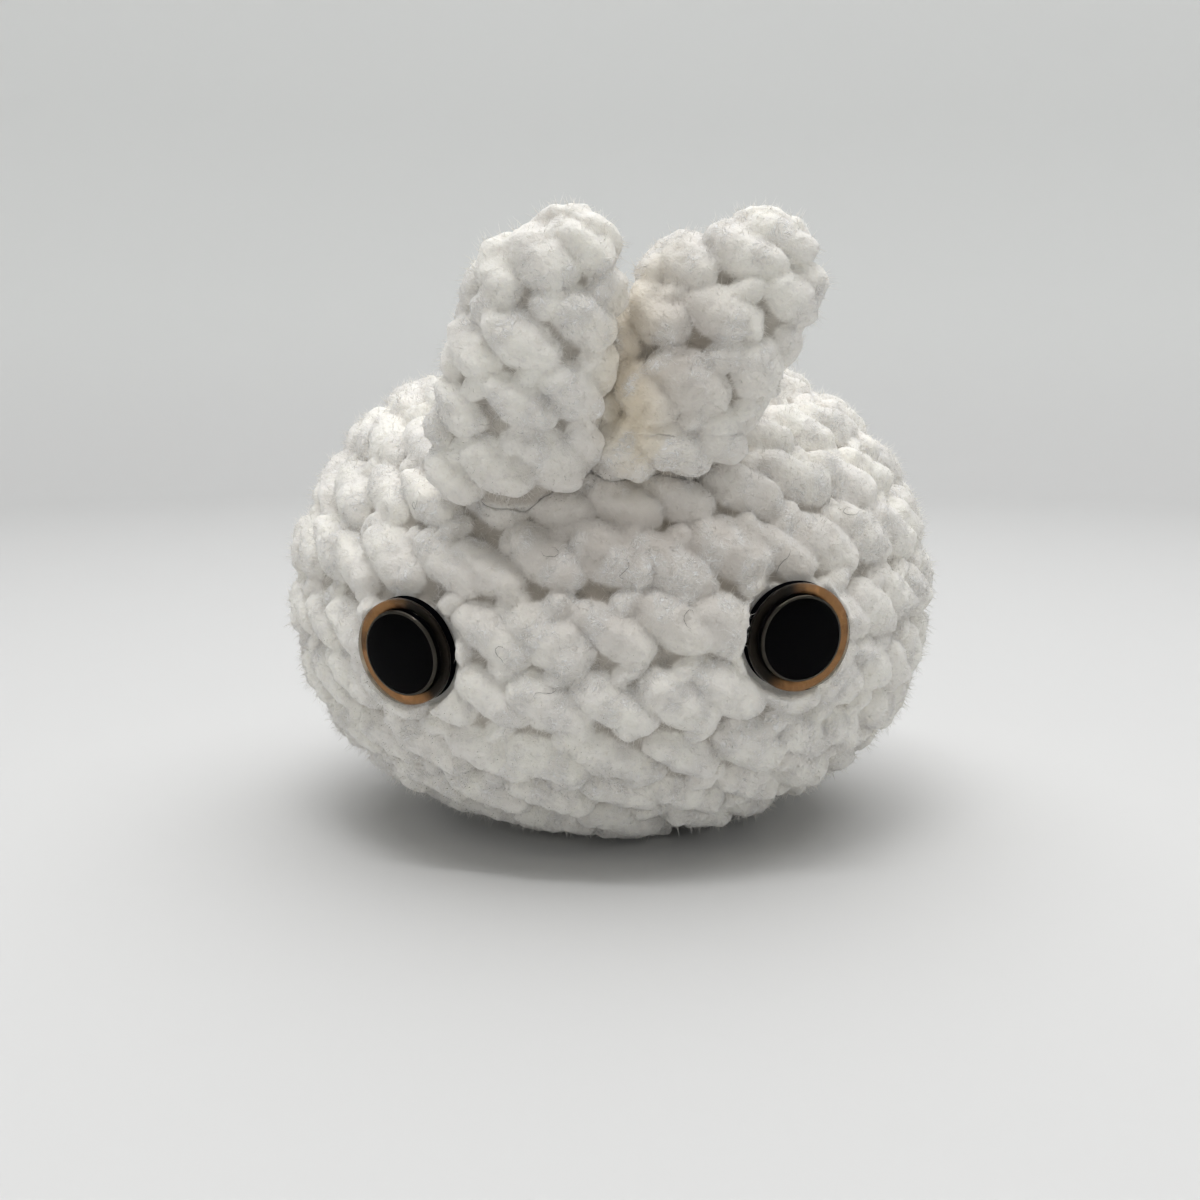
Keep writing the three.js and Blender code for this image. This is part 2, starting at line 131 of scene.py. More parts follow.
# How softly the fabric's height meets its deepest level, the floor and the room behind an eye
DEPTH_SOFTNESS = 0.2 * MM
FLOOR_SOFTNESS = 0.25 * MM
EYE_SOFTNESS = 0.15 * MM
# Fine lumps on the stitches: size and octaves of the clouds, and strength of the displacement
LUMPS = {"swelling": (2.8 * MM, 1, 1.1 * MM), "tufts": (1.3 * MM, 2, 0.55 * MM)}
# How deep behind an eye's flange the fabric is pushed back and bears no pile, and how steeply the
# push ends round its rim
EYE_DEPTH = 6 * MM
EYE_SLOPE = 1.2
# Where the body's pile stops: over the floor, beside an eye and inside the body's outline
PILE_OVER_FLOOR = 0.8 * MM
PILE_BESIDE_EYE = 0.9 * MM
PILE_INSIDE = 4.5 * MM

# Loose fibres of the pile on a square millimetre, and the deepest hollows where pile and curls stand
FIBRES_PER_SQUARE_MM = 2.35
PILE_HOLLOW = 0.95
CURL_HOLLOW = 0.5
# The swirl that the pile follows, in radians for a metre, its phases and strength, and how far single
# fibres stray from it
SWIRL_TURNS = 2100
SWIRL_PHASES = (0.3, 1.7, 4.1)
SWIRL = 0.5
STRAY = 0.4
# Shortest fibre as a share of the longest, power that makes short ones common, and depth of their feet
SHORTEST_FIBRE = 0.3
SHORT_FIBRES = 1.5
FOOT_DEPTH = 0.12 * MM
# Corners of a fibre's three-sided foot, and the faces that close it over to its tip
FOOT_CORNERS = ((1, 0), (-0.5, 0.87), (-0.5, -0.87))
SLIVER_FACES = ((0, 2, 1), (0, 1, 3), (1, 2, 3), (2, 0, 3))
# Curly fibres: steps along one, how far its course turns at a step, how much of that turn it keeps,
# how high it lies in halves of its thickness, the angle that tapers its ends, and how matted the pile
# is where the first ones stand
CURL_STEPS = 9
CURL_TURN = 0.4
CURL_KEPT = 0.8
CURL_LIFT = (1, 6)
CURL_TAPER = 0.3
CURL_MATTED = 0.1
# A direction that hardly any curl runs along, from which its sides are found
ODD_WAY = (0.31, 0.2, 0.93)

# Cell of the mesh that makes an ear's hollow, and the body's outline points taken for its inner ball
SOCKET_CELL = 0.3 * MM
BALL_STRIDE = 8
# Air round the filling, and the size and depth of its flocks
FILLING_AIR = 0.8 * MM
FLOCK_SIZE = 6 * MM
FLOCK_DEPTH = 0.9 * MM

# Eyes: heights of the dome and the ring over the flange, the ring's reach into the pupil, steps,
# fullness and lower edge of the dome, roundings of the pieces, and steps of the pupil's edge
DOME_LIFT = 0.02 * MM
RING_LIFT = 0.04 * MM
RING_REACH = 0.02 * MM
DOME_STEPS = 28
DOME_FULLNESS = 2.6
DOME_EDGE = 0.12 * MM
RING_ROUNDING = 0.08 * MM
MOULDING_ROUNDING = 0.12 * MM
WASHER_ROUNDING = 0.25 * MM
PUPIL_STEPS = 9

# The stage: sweep, light of the room, and each lamp's place, aim, two spans and watts
FLOOR_STEPS = 12
COVE_STEPS = 24
SWEEP_SIDES = 128
SWEEP_THICKNESS = 10 * MM
ROOM_LIGHT = 0.05
LAMPS = {
    "overhead": ((0.03, 0.06, 0.50), (0, 0.03, 0), (0.8, 0.8), 3.35),
    "fill": ((-0.15, -0.48, 0.30), (0, 0, 0.03), (0.5, 0.5), 0.17),
    "strip": ((-0.04, -0.16, 0.42), (0, 0, 0.03), (0.20, 0.03), 0.33),
}

# The mix node's sockets for colours
MIX_FIRST, MIX_SECOND, MIX_RESULT = 6, 7, 2
# Noises of the materials: waves in a metre, octaves, roughness and distortion
NOISES = {
    "patches": (160, 3),
    "tufts": (1300, 3, 0.6),
    "twist": (620, 1.5, 0.5, 2.2),
    "wool": (3000, 4, 0.7),
    "fibre": (900, 2),
    "strands": (900, 5, 0.7),
    "flow": (300, 2),
    "scuffs": (900, 3),
    "grain": (2600, 4, 0.7),
    "foil": (300, 3, 0.6),
    "glass": (350, 2),
    "plastic": (1500, 3),
    "card": (700, 3),
}


def length(name, description, millimetres):
    return FloatProperty(
        name=name,
        description=description,
        default=millimetres * MM,
        min=0.0,
        precision=5,
        subtype="DISTANCE",
        unit="LENGTH",
    )


def colour(name, description, value):
    return FloatVectorProperty(
        name=name, description=description, default=value, size=3, min=0.0, max=1.0, subtype="COLOR"
    )


def turning(name, description, degrees):
    return FloatProperty(
        name=name, description=description, default=math.radians(degrees), subtype="ANGLE", unit="ROTATION"
    )


def share(name, description, value):
    return FloatProperty(name=name, description=description, default=value, subtype="FACTOR")


def whole(name, description, value):
    return IntProperty(name=name, description=description, default=value)


class BunnyYarn(PropertyGroup):
    """Chenille yarn and the stitches that it makes"""

    radius: length("Yarn radius", "Half the thickness of a stitch's lower loop", 2.4)
    lower_swell: length("Lower swell", "How far a lower loop stands over the fabric's middle level", 1.35)
    upper_swell: length("Upper swell", "How far an upper loop stands over the fabric's middle level", 0.55)
    roundness: length("Roundness", "How far a loop falls from its top to its edge", 1.4)
    fullness: share("Fullness", "Power of a loop's section; a higher one has a flatter top", 2.2)
    crease: length("Crease", "How deep the line is that parts two loops", 0.2)
    crease_width: length("Crease width", "Difference in height over which the crease closes", 0.7)
    depth: length("Depth", "How deep the holes between loops lie under the middle level", 1.15)
    seam: length("Seam", "Air between an ear and the body that it is sewn to", 0.07)
    fabric_thickness: length("Fabric thickness", "From the fabric's middle level to its inner face", 6)
    mesh_size: length("Mesh size", "Edge length of the fabric's mesh", 0.33)
    looseness: share("Looseness", "How far stitches differ from one another", 0.07)
    wander: length("Wander", "How far the creases wander from their course", 0.25)
    fibre_length: length("Fibre length", "Longest fibre of the pile", 1.8)
    fibre_width: length("Fibre width", "Width of a tuft of fibres at its foot", 0.075)
    curl_length: length("Curl length", "Length of a curly fibre that lies on the pile", 2.4)
    curl_width: length("Curl width", "Thickness of a curly fibre", 0.05)
    curls_per_square_mm: FloatProperty(
        name="Curls", description="Curly fibres on a square millimetre of matted pile", default=0.6
    )
    lint_length: length("Lint length", "Length of a dark fibre caught in the pile", 4)
    white: colour("White", "Colour of the pile on the loops", (0.92, 0.896, 0.832))
    grey: colour("Grey", "Colour where the pile is matted", (0.855, 0.825, 0.785))
    # Partly wear and partly painted shade: the brow under the ears and the ear beside it are greyed towards
    # this colour
    worn: colour("Worn", "Greyer colour of the rubbed brow", (0.63, 0.585, 0.54))
    lint: colour("Lint", "Colour of the few dark fibres caught in the pile", (0.06, 0.045, 0.04))
    glint: colour("Glint", "Colour of single curly fibres", (0.97, 0.95, 0.93))
    # Painted shade: the colour that the pile is darkened towards where it lies deep between the loops
    shade: colour("Shade", "Colour of the pile deep between the loops", (0.36, 0.315, 0.26))
    # Painted light: a warm bounce glow painted on the yarn in the shade between the ears
    cream: colour("Cream", "Warmer colour of the yarn between the ears", (0.88, 0.76, 0.56))


class BunnyBody(PropertyGroup):
    """Stuffed ball that is head and body in one"""

    width: length("Width", "Over the stitches", 80)
    height: length("Height", "Over the stitches", 60)
    widest_height: length("Widest height", "Height of the widest round", 28)
    swell: length("Swell", "How far stitches stand over the fabric's middle level", 0.9)
    flat_depth: length("Flat depth", "How far the lowest stitches are pressed flat", 0.5)
    rounds: whole("Rounds", "Rounds of the spiral", 13)
    widest_stitches: whole("Widest stitches", "Stitches in the widest round", 36)
    increase: whole("Increase", "Stitches added in each of the first rounds", 6)
    upper_power: share("Upper fullness", "Power of the upper half's outline", 2.2)
    lower_power: share("Lower fullness", "Power of the lower half's outline", 2.15)
    start_turn: share("Start", "Where the spiral begins, in turns from the right side", 0.402)


class BunnyEar:
    """Sizes that both ears have"""

    base_thickness: length("Base thickness", "Across the rounded base, front to back", 8.8)
    thickness: length("Thickness", "Front to back at the thickest", 9.6)
    rounds: whole("Rounds", "Rounds of the spiral", 4)
    stitches: whole("Stitches", "Stitches in a round", 7)
    base_share: share("Base share", "Share of the outline's parameter that the rounded base takes", 0.25)
    drift_power: share("Drift power", "How late the ear bends to the side", 0.9)
    start_turn: share("Start", "Where the spiral begins, in turns from the right side", 0.25)


class BunnyLeftEar(PropertyGroup, BunnyEar):
    """The ear on the viewer's left"""

    tilt: turning("Tilt", "Lean forwards", 14)
    length: length("Length", "From the hinge to the tip", 26.3)
    drop: length("Drop", "From the hinge down to the rounded base", 5.6)
    base_width: length("Base width", "Along the hinge", 15.6)
    width: length("Width", "Across the ear at its widest", 17.0)
    drift: length("Drift", "How far the tip lies to the side", 7.0)
    tip_power: share("Tip fullness", "How square the tip is", 5)


class BunnyRightEar(PropertyGroup, BunnyEar):
    """The ear on the viewer's right"""

    tilt: turning("Tilt", "Lean forwards", 9)
    length: length("Length", "From the hinge to the tip", 22.7)
    drop: length("Drop", "From the hinge down to the rounded base", 6.6)
    base_width: length("Base width", "Along the hinge", 16)
    width: length("Width", "Across the ear at its widest", 20)
    drift: length("Drift", "How far the tip lies to the side", 8.2)
    tip_power: share("Tip fullness", "How square the tip is", 3.6)


class BunnyTail(PropertyGroup):
    """Small ball at the back"""

    width: length("Width", "Over the stitches", 17)
    height: length("Height", "Height of its centre", 24)
    sink: length("Sink", "How deep it is pressed into the body's outline", 3.5)
    rounds: whole("Rounds", "Rounds of the spiral", 4)
    stitches: whole("Stitches", "Stitches in a round", 9)


class BunnyEye(PropertyGroup):
    """Safety eye with a domed lens, a copper ring and a black moulding with a ribbed stem"""

    width: length("Width", "Across the flange", 12)
    flange: length("Flange", "Thickness of the flange", 0.9)
    rim: length("Rim", "Straight edge under the dome", 0.7)
    dome: length("Dome", "Height of the dome over its rim", 2.2)
    pupil_width: length("Pupil width", "Across the raised pupil", 9.6)
    pupil_height: length("Pupil height", "From the flange to the pupil's top", 1.3)
    pupil_round: length("Pupil rounding", "Radius of the pupil's rounded edge", 0.3)
    polished_share: share("Polished edge", "Share of the pupil's radius inside its polished edge", 0.94)
    ring_thickness: length("Ring thickness", "Thickness of the copper ring", 0.4)
    ring_border: length("Ring border", "From the ring's edge to the eye's edge", 0.1)
    stem_width: length("Stem width", "Over the ribs", 4)
    stem_length: length("Stem length", "From the flange's back to the stem's end", 13)
    tip_width: length("Tip width", "Across the stem's end", 2)
    tip_length: length("Tip length", "Length of the tapered tip", 1.5)
    ribs: whole("Ribs", "Ribs on the stem", 7)
    rib_pitch: length("Rib pitch", "From rib to rib", 1.4)
    rib_depth: length("Rib depth", "Height of a rib", 0.3)
    washer_width: length("Washer width", "Across the locking washer", 11)
    washer_thickness: length("Washer thickness", "Thickness of the washer's plate", 1.2)
    collar_width: length("Collar width", "Across the washer's collar", 7)
    collar_height: length("Collar height", "Height of the washer's collar", 1.6)
    washer_top: length("Washer depth", "From the flange's back to the washer", 4.4)
    gap: length("Gap", "Clearance between the eye's pieces", 0.2)
    clearance: length("Clearance", "Between the eye and the fabric", 0.3)
    dimple: length("Dimple", "Width of the fabric's slope round the eye", 0.4)
    amber: colour("Amber", "Tint of the clear dome", (0.96, 0.86, 0.7))
    copper: colour("Copper", "Colour of the ring", (0.40, 0.225, 0.11))
    # Painted shade: the ring is darkened to near black on the side of the nose
    burnt: colour("Burnt", "Colour of the ring on the side of the nose", (0.007, 0.005, 0.004))
    black: colour("Black", "Colour of the moulding", (0.001, 0.001, 0.0016))
    washer: colour("Washer", "Colour of the washer", (0.88, 0.87, 0.83))


class BunnyStage(PropertyGroup):
    """Round pale sweep, soft light and the camera"""

    flat_radius: length("Floor radius", "Radius of the flat floor", 430)
    cove_radius: length("Cove radius", "Radius of the curve from floor to wall", 160)
    wall_height: length("Wall height", "Height of the wall", 900)
    floor: colour("Floor", "Colour of the floor", (0.65, 0.65, 0.647))
    wall: colour("Wall", "Colour of the wall", (0.70, 0.708, 0.70))
    lens: FloatProperty(name="Lens", description="Focal length in millimetres", default=50.2)
    down: turning("Down", "How far the camera looks down", 9)
    distance: length("Distance", "From the camera to the middle of the body", 215)
    aim_height: length("Aim height", "Height that the camera aims at", 28.2)
    off_centre: length("Off centre", "How far the camera stands left of and below its aim", 1.414)


def group(kind, name, description):
    return PointerProperty(type=kind, name=name, description=description)


class BunnySettings(PropertyGroup):
    """All the sizes and colours"""

    yarn: group(BunnyYarn, "Yarn", "The yarn and its stitches")
    body: group(BunnyBody, "Body", "The stuffed ball")
    left_ear: group(BunnyLeftEar, "Left ear", "The ear on the viewer's left")
    right_ear: group(BunnyRightEar, "Right ear", "The ear on the viewer's right")
    tail: group(BunnyTail, "Tail", "The small ball at the back")
    eye: group(BunnyEye, "Eye", "Both safety eyes")
    stage: group(BunnyStage, "Stage", "Sweep, lights and camera")


# Ear outlines: shares of the ear's width and thickness at equal steps from hinge to tip
EAR_WIDTH_SHARES = {
    "left_ear": (0.92, 1, 0.98, 0.97, 0.94),
    "right_ear": (0.80, 0.86, 1.0, 1.08, 1.06),
}
EAR_THICKNESS_SHARES = (0.87, 1, 1, 0.93, 0.8)

# Where the dark fibres lie, in millimetres
LINT_PLACES = (
    (-8, -42, 40),
    (1, -42, 38),
    (-12, -44, 29),
    (9, -43, 31),
    (22, -40, 40),
    (-26, -34, 42),
    (30, -30, 44),
    (-9, -42, 22),
)

# Middles and reaches in millimetres of the spot between the ears where a warm bounce light is painted on,
# and of the brow and the ear beside it, which are greyed partly as wear and partly as painted shade
WOOL_SPOTS = {
    "painted_bounce_spot": [((2.4, -35, 55), (3.2, 14, 10))],
    "worn": [((4, -37, 38), (22, 16, 9)), ((7, -35, 59), (6, 14, 9))],
}


def settings():
    return bpy.context.scene.bunny


def spline(knots, steps):
    """Points at equal steps of a smooth curve through the knots."""
    knots = np.asarray(knots, float)
    padded = np.vstack([2 * knots[0] - knots[1], knots, 2 * knots[-1] - knots[-2]])
    t = np.linspace(0, len(knots) - 1, steps)
    i = np.minimum(t.astype(int), len(knots) - 2)
    f = (t - i)[:, None]
    a, b, c, d = (padded[i + k] for k in range(4))
    return 0.5 * (2 * b + (c - a) * f + (2 * a - 5 * b + 4 * c - d) * f**2 + (3 * b - a - 3 * c + d) * f**3)


def unit(vectors):
    return vectors / np.maximum(np.linalg.norm(vectors, axis=-1, keepdims=True), TINY)


def moved(points, matrix):
    m = np.array(matrix)
    return points @ m[:3, :3].T + m[:3, 3]


class Fabric:
    """The middle surface of a piece crocheted in one spiral, from its lower pole to its upper one."""

    def __init__(self, counts, start_turn, outline, place=Matrix.Identity(4)):
        half_width, _, height, _ = outline
        travelled = np.hypot(np.diff(half_width), np.diff(height))
        self.along = np.concatenate([[0], np.cumsum(travelled)])
        self.along /= self.along[-1]
        self.outline = outline
        self.counts = counts
        self.start_turn = start_turn
        self.last_row = len(counts) + POLE_ROWS
        self.place = place

    def local(self, turns, rows):
        turns, rows = np.broadcast_arrays(turns, rows)
        at = np.clip(rows / self.last_row, 0, 1)
        half_width, half_thickness, height, drift = (np.interp(at, self.along, v) for v in self.outline)
        angle = TAU * (turns + self.start_turn)
        return np.stack([drift + half_width * np.cos(angle), half_thickness * np.sin(angle), height], -1)

    def lifted(self, turns, rows, lift):
        """Points over the surface and their outward directions, in the frame of the whole object."""
        turns, rows, lift = np.broadcast_arrays(turns, rows, lift)
        nudge = 1e-3
        at = self.local(turns, rows)
        across = self.local(turns + nudge, rows) - self.local(turns - nudge, rows)
        climb = nudge * self.last_row
        up = self.local(turns, rows + climb) - self.local(turns, rows - climb)
        outward = unit(np.cross(across, up))
        turned = Matrix(self.place).to_3x3().to_4x4()
        return moved(at + outward * lift[..., None], self.place), moved(outward, turned)

    def spans(self):
        """Lengths of the widest round and of the way from pole to pole."""
        rows = np.linspace(0, self.last_row, SPAN_STEPS)
        turns = np.arange(SPAN_STEPS) / SPAN_STEPS
        grid = self.local(turns[:, None], rows[None, :])
        around = np.linalg.norm(np.roll(grid, -1, 0) - grid, axis=-1).sum(0).max()
        return around, np.linalg.norm(np.diff(grid, axis=1), axis=-1).sum(1).max()

    def stitches(self):
        """Turn and count of each stitch; its row's middle lies one row above its turn."""
        turns = [r + (k + 0.5) / n for r, n in enumerate(self.counts) for k in range(n)]
        counts = [n for n in self.counts for _ in range(n)]
        return np.array(turns), np.array(counts, float)


def mesh_piece(name, points, faces):
    mesh = bpy.data.meshes.new(name)
    mesh.from_pydata(np.asarray(points).tolist(), [], faces)
    mesh.shade_smooth()
    piece = bpy.data.objects.new(name, mesh)
    bpy.context.scene.collection.objects.link(piece)
    return piece


def tube_faces(rings, sides):
    """Faces of a tube of rings that is closed by a face at each end."""
    faces = []
    for r in range(rings - 1):
        for s in range(sides):
            n = (s + 1) % sides
            faces.append([r * sides + s, r * sides + n, (r + 1) * sides + n, (r + 1) * sides + s])
    faces.append(list(range(sides))[::-1])
    faces.append([(rings - 1) * sides + s for s in range(sides)])
    return faces


def modified(piece, kind, **values):
    modifier = piece.modifiers.new(kind.title(), kind)
    for name, value in values.items():
        setattr(modifier, name, value)


def applied(piece):
    """Puts what the modifiers make into the mesh."""
    graph = bpy.context.evaluated_depsgraph_get()
    mesh = bpy.data.meshes.new_from_object(piece.evaluated_get(graph))
    piece.modifiers.clear()
    piece.data = mesh
    mesh.name = piece.name
    return piece


def store(piece, name, values):
    """Keeps a number for each of the mesh's corners."""
    piece.data.attributes.new(name, "FLOAT", "POINT").data.foreach_set("value", values)


def clouds(name, size, depth):
    texture = bpy.data.textures.new(name, "CLOUDS")
    texture.noise_scale = size
    texture.noise_depth = depth
    texture.noise_basis = "ORIGINAL_PERLIN"
    return texture


def loop_places(fabric, shares, loose):
    """Points along one loop of every stitch, and the loop's girth at each."""
    turns, counts = fabric.stitches()
    across, up, girth = spline(shares, LOOP_STEPS).T
    at_turns = turns[:, None] + (across + loose[0][:, None]) / counts[:, None]
    at_rows = turns[:, None] + 1 + up + loose[1][:, None]
    places, _ = fabric.lifted(at_turns, at_rows, 0)
    return places, girth * settings().yarn.radius * (1 + loose[2][:, None])


def nearest_stitches(fabric, turns, rows):
    """The stitches round each place: four in each of the four nearest rows."""
    worked, _ = fabric.stitches()
    near = []
    for step in (-1, 0, 1, 2):
        here = turns + np.floor(rows - 1 - turns) + step
        at = np.searchsorted(worked, here)
        near += [np.clip(at + k, 0, len(worked) - 1) for k in (-2, -1, 0, 1)]
    return np.sort(np.stack(near, -1), -1)


def waves(points, size, rng):
    """Three smooth random values, mostly from -1 to 1, for each point."""
    made = np.zeros_like(points)
    for _ in range(WAVE_COUNT):
        course = rng.normal(0, 1, (3, 3)) * TAU / size
        made += np.sin(points @ course + rng.uniform(0, TAU, 3))
    return made / WAVE_DIVISOR


def puffed(fabric, turns, rows, seed):
    """Height over the fabric's middle level at each place, and how deep it lies under it, 0 to 1."""
    yarn = settings().yarn
    rng = np.random.default_rng(seed)
    flat, _ = fabric.lifted(turns, rows, 0)
    flat = flat + yarn.wander * waves(flat, WANDER_WAVE, rng)
    middle, swing, most = OPENNESS
    openness = np.clip(middle + swing * waves(flat, OPENNESS_WAVE, rng)[:, 0], 0, most)
    near = nearest_stitches(fabric, turns, rows)
    repeated = np.zeros(near.shape, bool)
    repeated[:, 1:] = near[:, 1:] == near[:, :-1]
    loops = []
    for shares, swell in ((LOWER_LOOP_SHARES, yarn.lower_swell), (UPPER_LOOP_SHARES, yarn.upper_swell)):
        loose = rng.normal(0, yarn.looseness, (4, sum(fabric.counts)))
        loops.append((*loop_places(fabric, shares, loose), swell + yarn.radius * loose[3]))
    levels = np.empty((len(flat), 2))
    for start in range(0, len(flat), CHUNK):
        part = slice(start, start + CHUNK)
        by = near[part]
        found = []
        for places, girth, swell in loops:
            away = np.linalg.norm(flat[part, None, None] - places[by], axis=-1) / girth[by]
            level = swell[by] - yarn.roundness * away.min(-1) ** yarn.fullness
            found.append(np.where(repeated[part], FAR_BELOW, level))
        levels[part] = np.sort(np.concatenate(found, 1), 1)[:, :-3:-1]
    first, second = levels.T
    crease = openness * np.exp(-(((first - second) / yarn.crease_width) ** 2))
    height = soft_most(first + yarn.depth, DEPTH_SOFTNESS) - yarn.depth
    from_pole = np.minimum(rows, fabric.last_row - rows)
    gathered = np.clip(1 - from_pole / GATHERED_ROWS, 0, 1) ** 2
    height = (height - yarn.crease * crease) * (1 - gathered) + yarn.upper_swell * gathered
    return height, np.clip(-height / yarn.depth, 0, 1)


def crocheted(name, fabric, grown=1.0):
    """The fabric with its stitches as one closed, softly lumped mesh."""
    yarn = settings().yarn
    columns, rounds = (int(size / yarn.mesh_size) for size in fabric.spans())
    rows = np.linspace(POLE_SHARE, 1 - POLE_SHARE, rounds) * fabric.last_row
    turns, rows = (v.ravel() for v in np.meshgrid(np.arange(columns) / columns, rows))
    height, hollow = puffed(fabric, turns, rows, SEEDS[name])
    points, _ = fabric.lifted(turns, rows, height * grown)
    piece = mesh_piece(name, points, tube_faces(rounds, columns))
    store(piece, "hollow", hollow)
    modified(piece, "SMOOTH", factor=0.5, iterations=5)
    for lump, (size, depth, strength) in LUMPS.items():
        modified(piece, "DISPLACE", texture=clouds(lump, size, depth), strength=strength, mid_level=0.5)
    return applied(piece)


def vertices(mesh):
    points = np.empty(len(mesh.vertices) * 3, np.float32)
    mesh.vertices.foreach_get("co", points)
    return points.reshape(-1, 3).astype(float)


def set_vertices(mesh, points):
    mesh.vertices.foreach_set("co", points.astype(np.float32).ravel())
    mesh.update()


def soft_least(values, limits, softness):
    """The smaller of two values, rounded where they meet."""
    return -softness * np.logaddexp(-values / softness, -limits / softness)


def soft_most(values, softness):
    """The values, held over zero and rounded where they meet it."""
    return softness * np.logaddexp(values / softness, 0)


def eye_place(side):
    joint = JOINTS[f"{side}_eye_twist"]
    turn = Vector((0, 0, 1)).rotation_difference(Vector(joint["axis"]))
    return Matrix.Translation(joint["pos_m"]) @ turn.to_matrix().to_4x4()


def pressed_by_eye(points, place):
    """Pushes the fabric back behind an eye's flange, with a slope round its rim."""
    eye = settings().eye
    local = moved(points, place.inverted())
    away = np.hypot(local[:, 0], local[:, 1])
    rim = eye.width / 2 + eye.clearance / 2
    near = (away < rim + 2 * eye.dimple) & (local[:, 2] > -EYE_DEPTH)
    slope = np.maximum(away - rim, 0) / eye.dimple
    limit = -eye.clearance + EYE_SLOPE * eye.dimple * slope**2
    pushed = soft_least(local[:, 2], limit, EYE_SOFTNESS)
    local[:, 2] = np.where(near, pushed, local[:, 2])
    return moved(local, place)


def body_outline(grown=0.0):
    body = settings().body
    angle = np.linspace(-math.pi / 2, math.pi / 2, OUTLINE_STEPS)
    lower = body.widest_height + body.flat_depth + grown
    upper = body.height - body.widest_height - body.swell + grown
    radius = body.width / 2 - body.swell + grown
    power = np.where(angle > 0, 2 / body.upper_power, 2 / body.lower_power)
    reach = radius * np.maximum(np.cos(angle), 0) ** power
    climb = np.sign(angle) * np.abs(np.sin(angle)) ** power * np.where(angle > 0, upper, lower)
    return reach, reach, body.widest_height + climb, np.zeros_like(angle)


def body_fabric():
    body = settings().body
    worked = [min(r + 1, body.rounds - r) for r in range(body.rounds)]
    counts = [min(w * body.increase, body.widest_stitches) for w in worked]
    return Fabric(counts, body.start_turn, body_outline())


def hinge_place(side, tilt):
    joint = JOINTS[f"{side}_ear_bend"]
    x, y, _ = joint["axis"]
    turn = Matrix.Rotation(math.atan2(y, x), 4, "Z") @ Matrix.Rotation(tilt, 4, "X")
    return Matrix.Translation(joint["pos_m"]) @ turn


def ear_fabric(side):
    name = f"{side}_ear"
    ear = getattr(settings(), name)
    t = np.linspace(0, 1, OUTLINE_STEPS)
    base = t < ear.base_share
    angle = t / ear.base_share * math.pi / 2
    up = np.clip((t - ear.base_share) / (1 - ear.base_share), 0, 1)
    height = 1 - (1 - up) ** 2
    closing = np.sqrt(np.maximum(1 - height**ear.tip_power, 0))
    widths, thicks = (
        np.interp(height, t, spline(np.array(shares)[:, None], OUTLINE_STEPS)[:, 0])
        for shares in (EAR_WIDTH_SHARES[name], EAR_THICKNESS_SHARES)
    )
    half_base = ear.base_thickness / 2
    half_width = np.where(base, ear.base_width / 2 * np.sin(angle), ear.width / 2 * widths * closing)
    half_thickness = np.where(base, half_base * np.sin(angle), ear.thickness / 2 * thicks * closing)
    level = np.where(base, -ear.drop * np.cos(angle), ear.length * height)
    drift = ear.drift * np.maximum(level / ear.length, 0) ** ear.drift_power
    outline = (half_width, half_thickness, level, drift)
    return Fabric([ear.stitches] * ear.rounds, ear.start_turn, outline, hinge_place(side, ear.tilt))


def tail_fabric():
    tail, body = settings().tail, settings().body
    radius = tail.width / 2 - body.swell
    angle = np.linspace(0, math.pi, OUTLINE_STEPS)
    reach = radius * np.sin(angle)
    outline = (reach, reach, -radius * np.cos(angle), np.zeros_like(angle))
    body_reach, _, heights, _ = body_outline()
    back = np.interp(tail.height, heights, body_reach)
    place = Matrix.Translation((0, back + tail.width / 2 - tail.sink, tail.height))
    lying = place @ Matrix.Rotation(-math.pi / 2, 4, "X")
    return Fabric([tail.stitches] * tail.rounds, 0.0, outline, lying)


def keep_rest(piece):
    """Stores each corner's place at rest, for materials that stay put when the piece bends."""
    mesh = piece.data
    points = vertices(mesh)
    mesh.attributes.new("rest", "FLOAT_VECTOR", "POINT").data.foreach_set("vector", points.ravel())
    for name, spots in WOOL_SPOTS.items():
        away = []
        for place, reach in spots:
            shares = (points - np.array(place) * MM) / (np.array(reach) * MM)
            away.append((shares**2).sum(1))
        store(piece, name, np.exp(-np.min(away, 0)))
    store(piece, "matted", mattedness(points))
    return piece


def mattedness(points):
    """Where the pile is matted and curly: 0 is smooth, 1 is matted."""
    rng = np.random.default_rng(SEEDS["matted"])
    return np.clip(MATTED_STRENGTH * waves(points, MATTED_WAVE, rng)[:, 0], 0, 1)


def scattered(piece, per_square_mm, rng):
    """Random places on a mesh, with the outward direction and the hollow's depth at each."""
    mesh = piece.data
    mesh.calc_loop_triangles()
    corners = np.empty(len(mesh.loop_triangles) * 3, np.int32)
    mesh.loop_triangles.foreach_get("vertices", corners)
    hollow = np.empty(len(mesh.vertices), np.float32)
    mesh.attributes["hollow"].data.foreach_get("value", hollow)
    a, b, c = vertices(mesh)[corners.reshape(-1, 3)].transpose(1, 0, 2)
    cross = np.cross(b - a, c - a)
    area = np.linalg.norm(cross, axis=1) / 2
    count = int(area.sum() / MM**2 * per_square_mm)
    picked = rng.choice(len(area), count, p=area / area.sum())
    u, v = rng.random((2, count, 1))
    fold = u + v > 1
    u, v = np.where(fold, 1 - u, u), np.where(fold, 1 - v, v)
    places = a[picked] + u * (b - a)[picked] + v * (c - a)[picked]
    return places, unit(cross[picked]), hollow[corners.reshape(-1, 3)[picked, 0]]


def everywhere(places):
    return np.ones(len(places), bool)


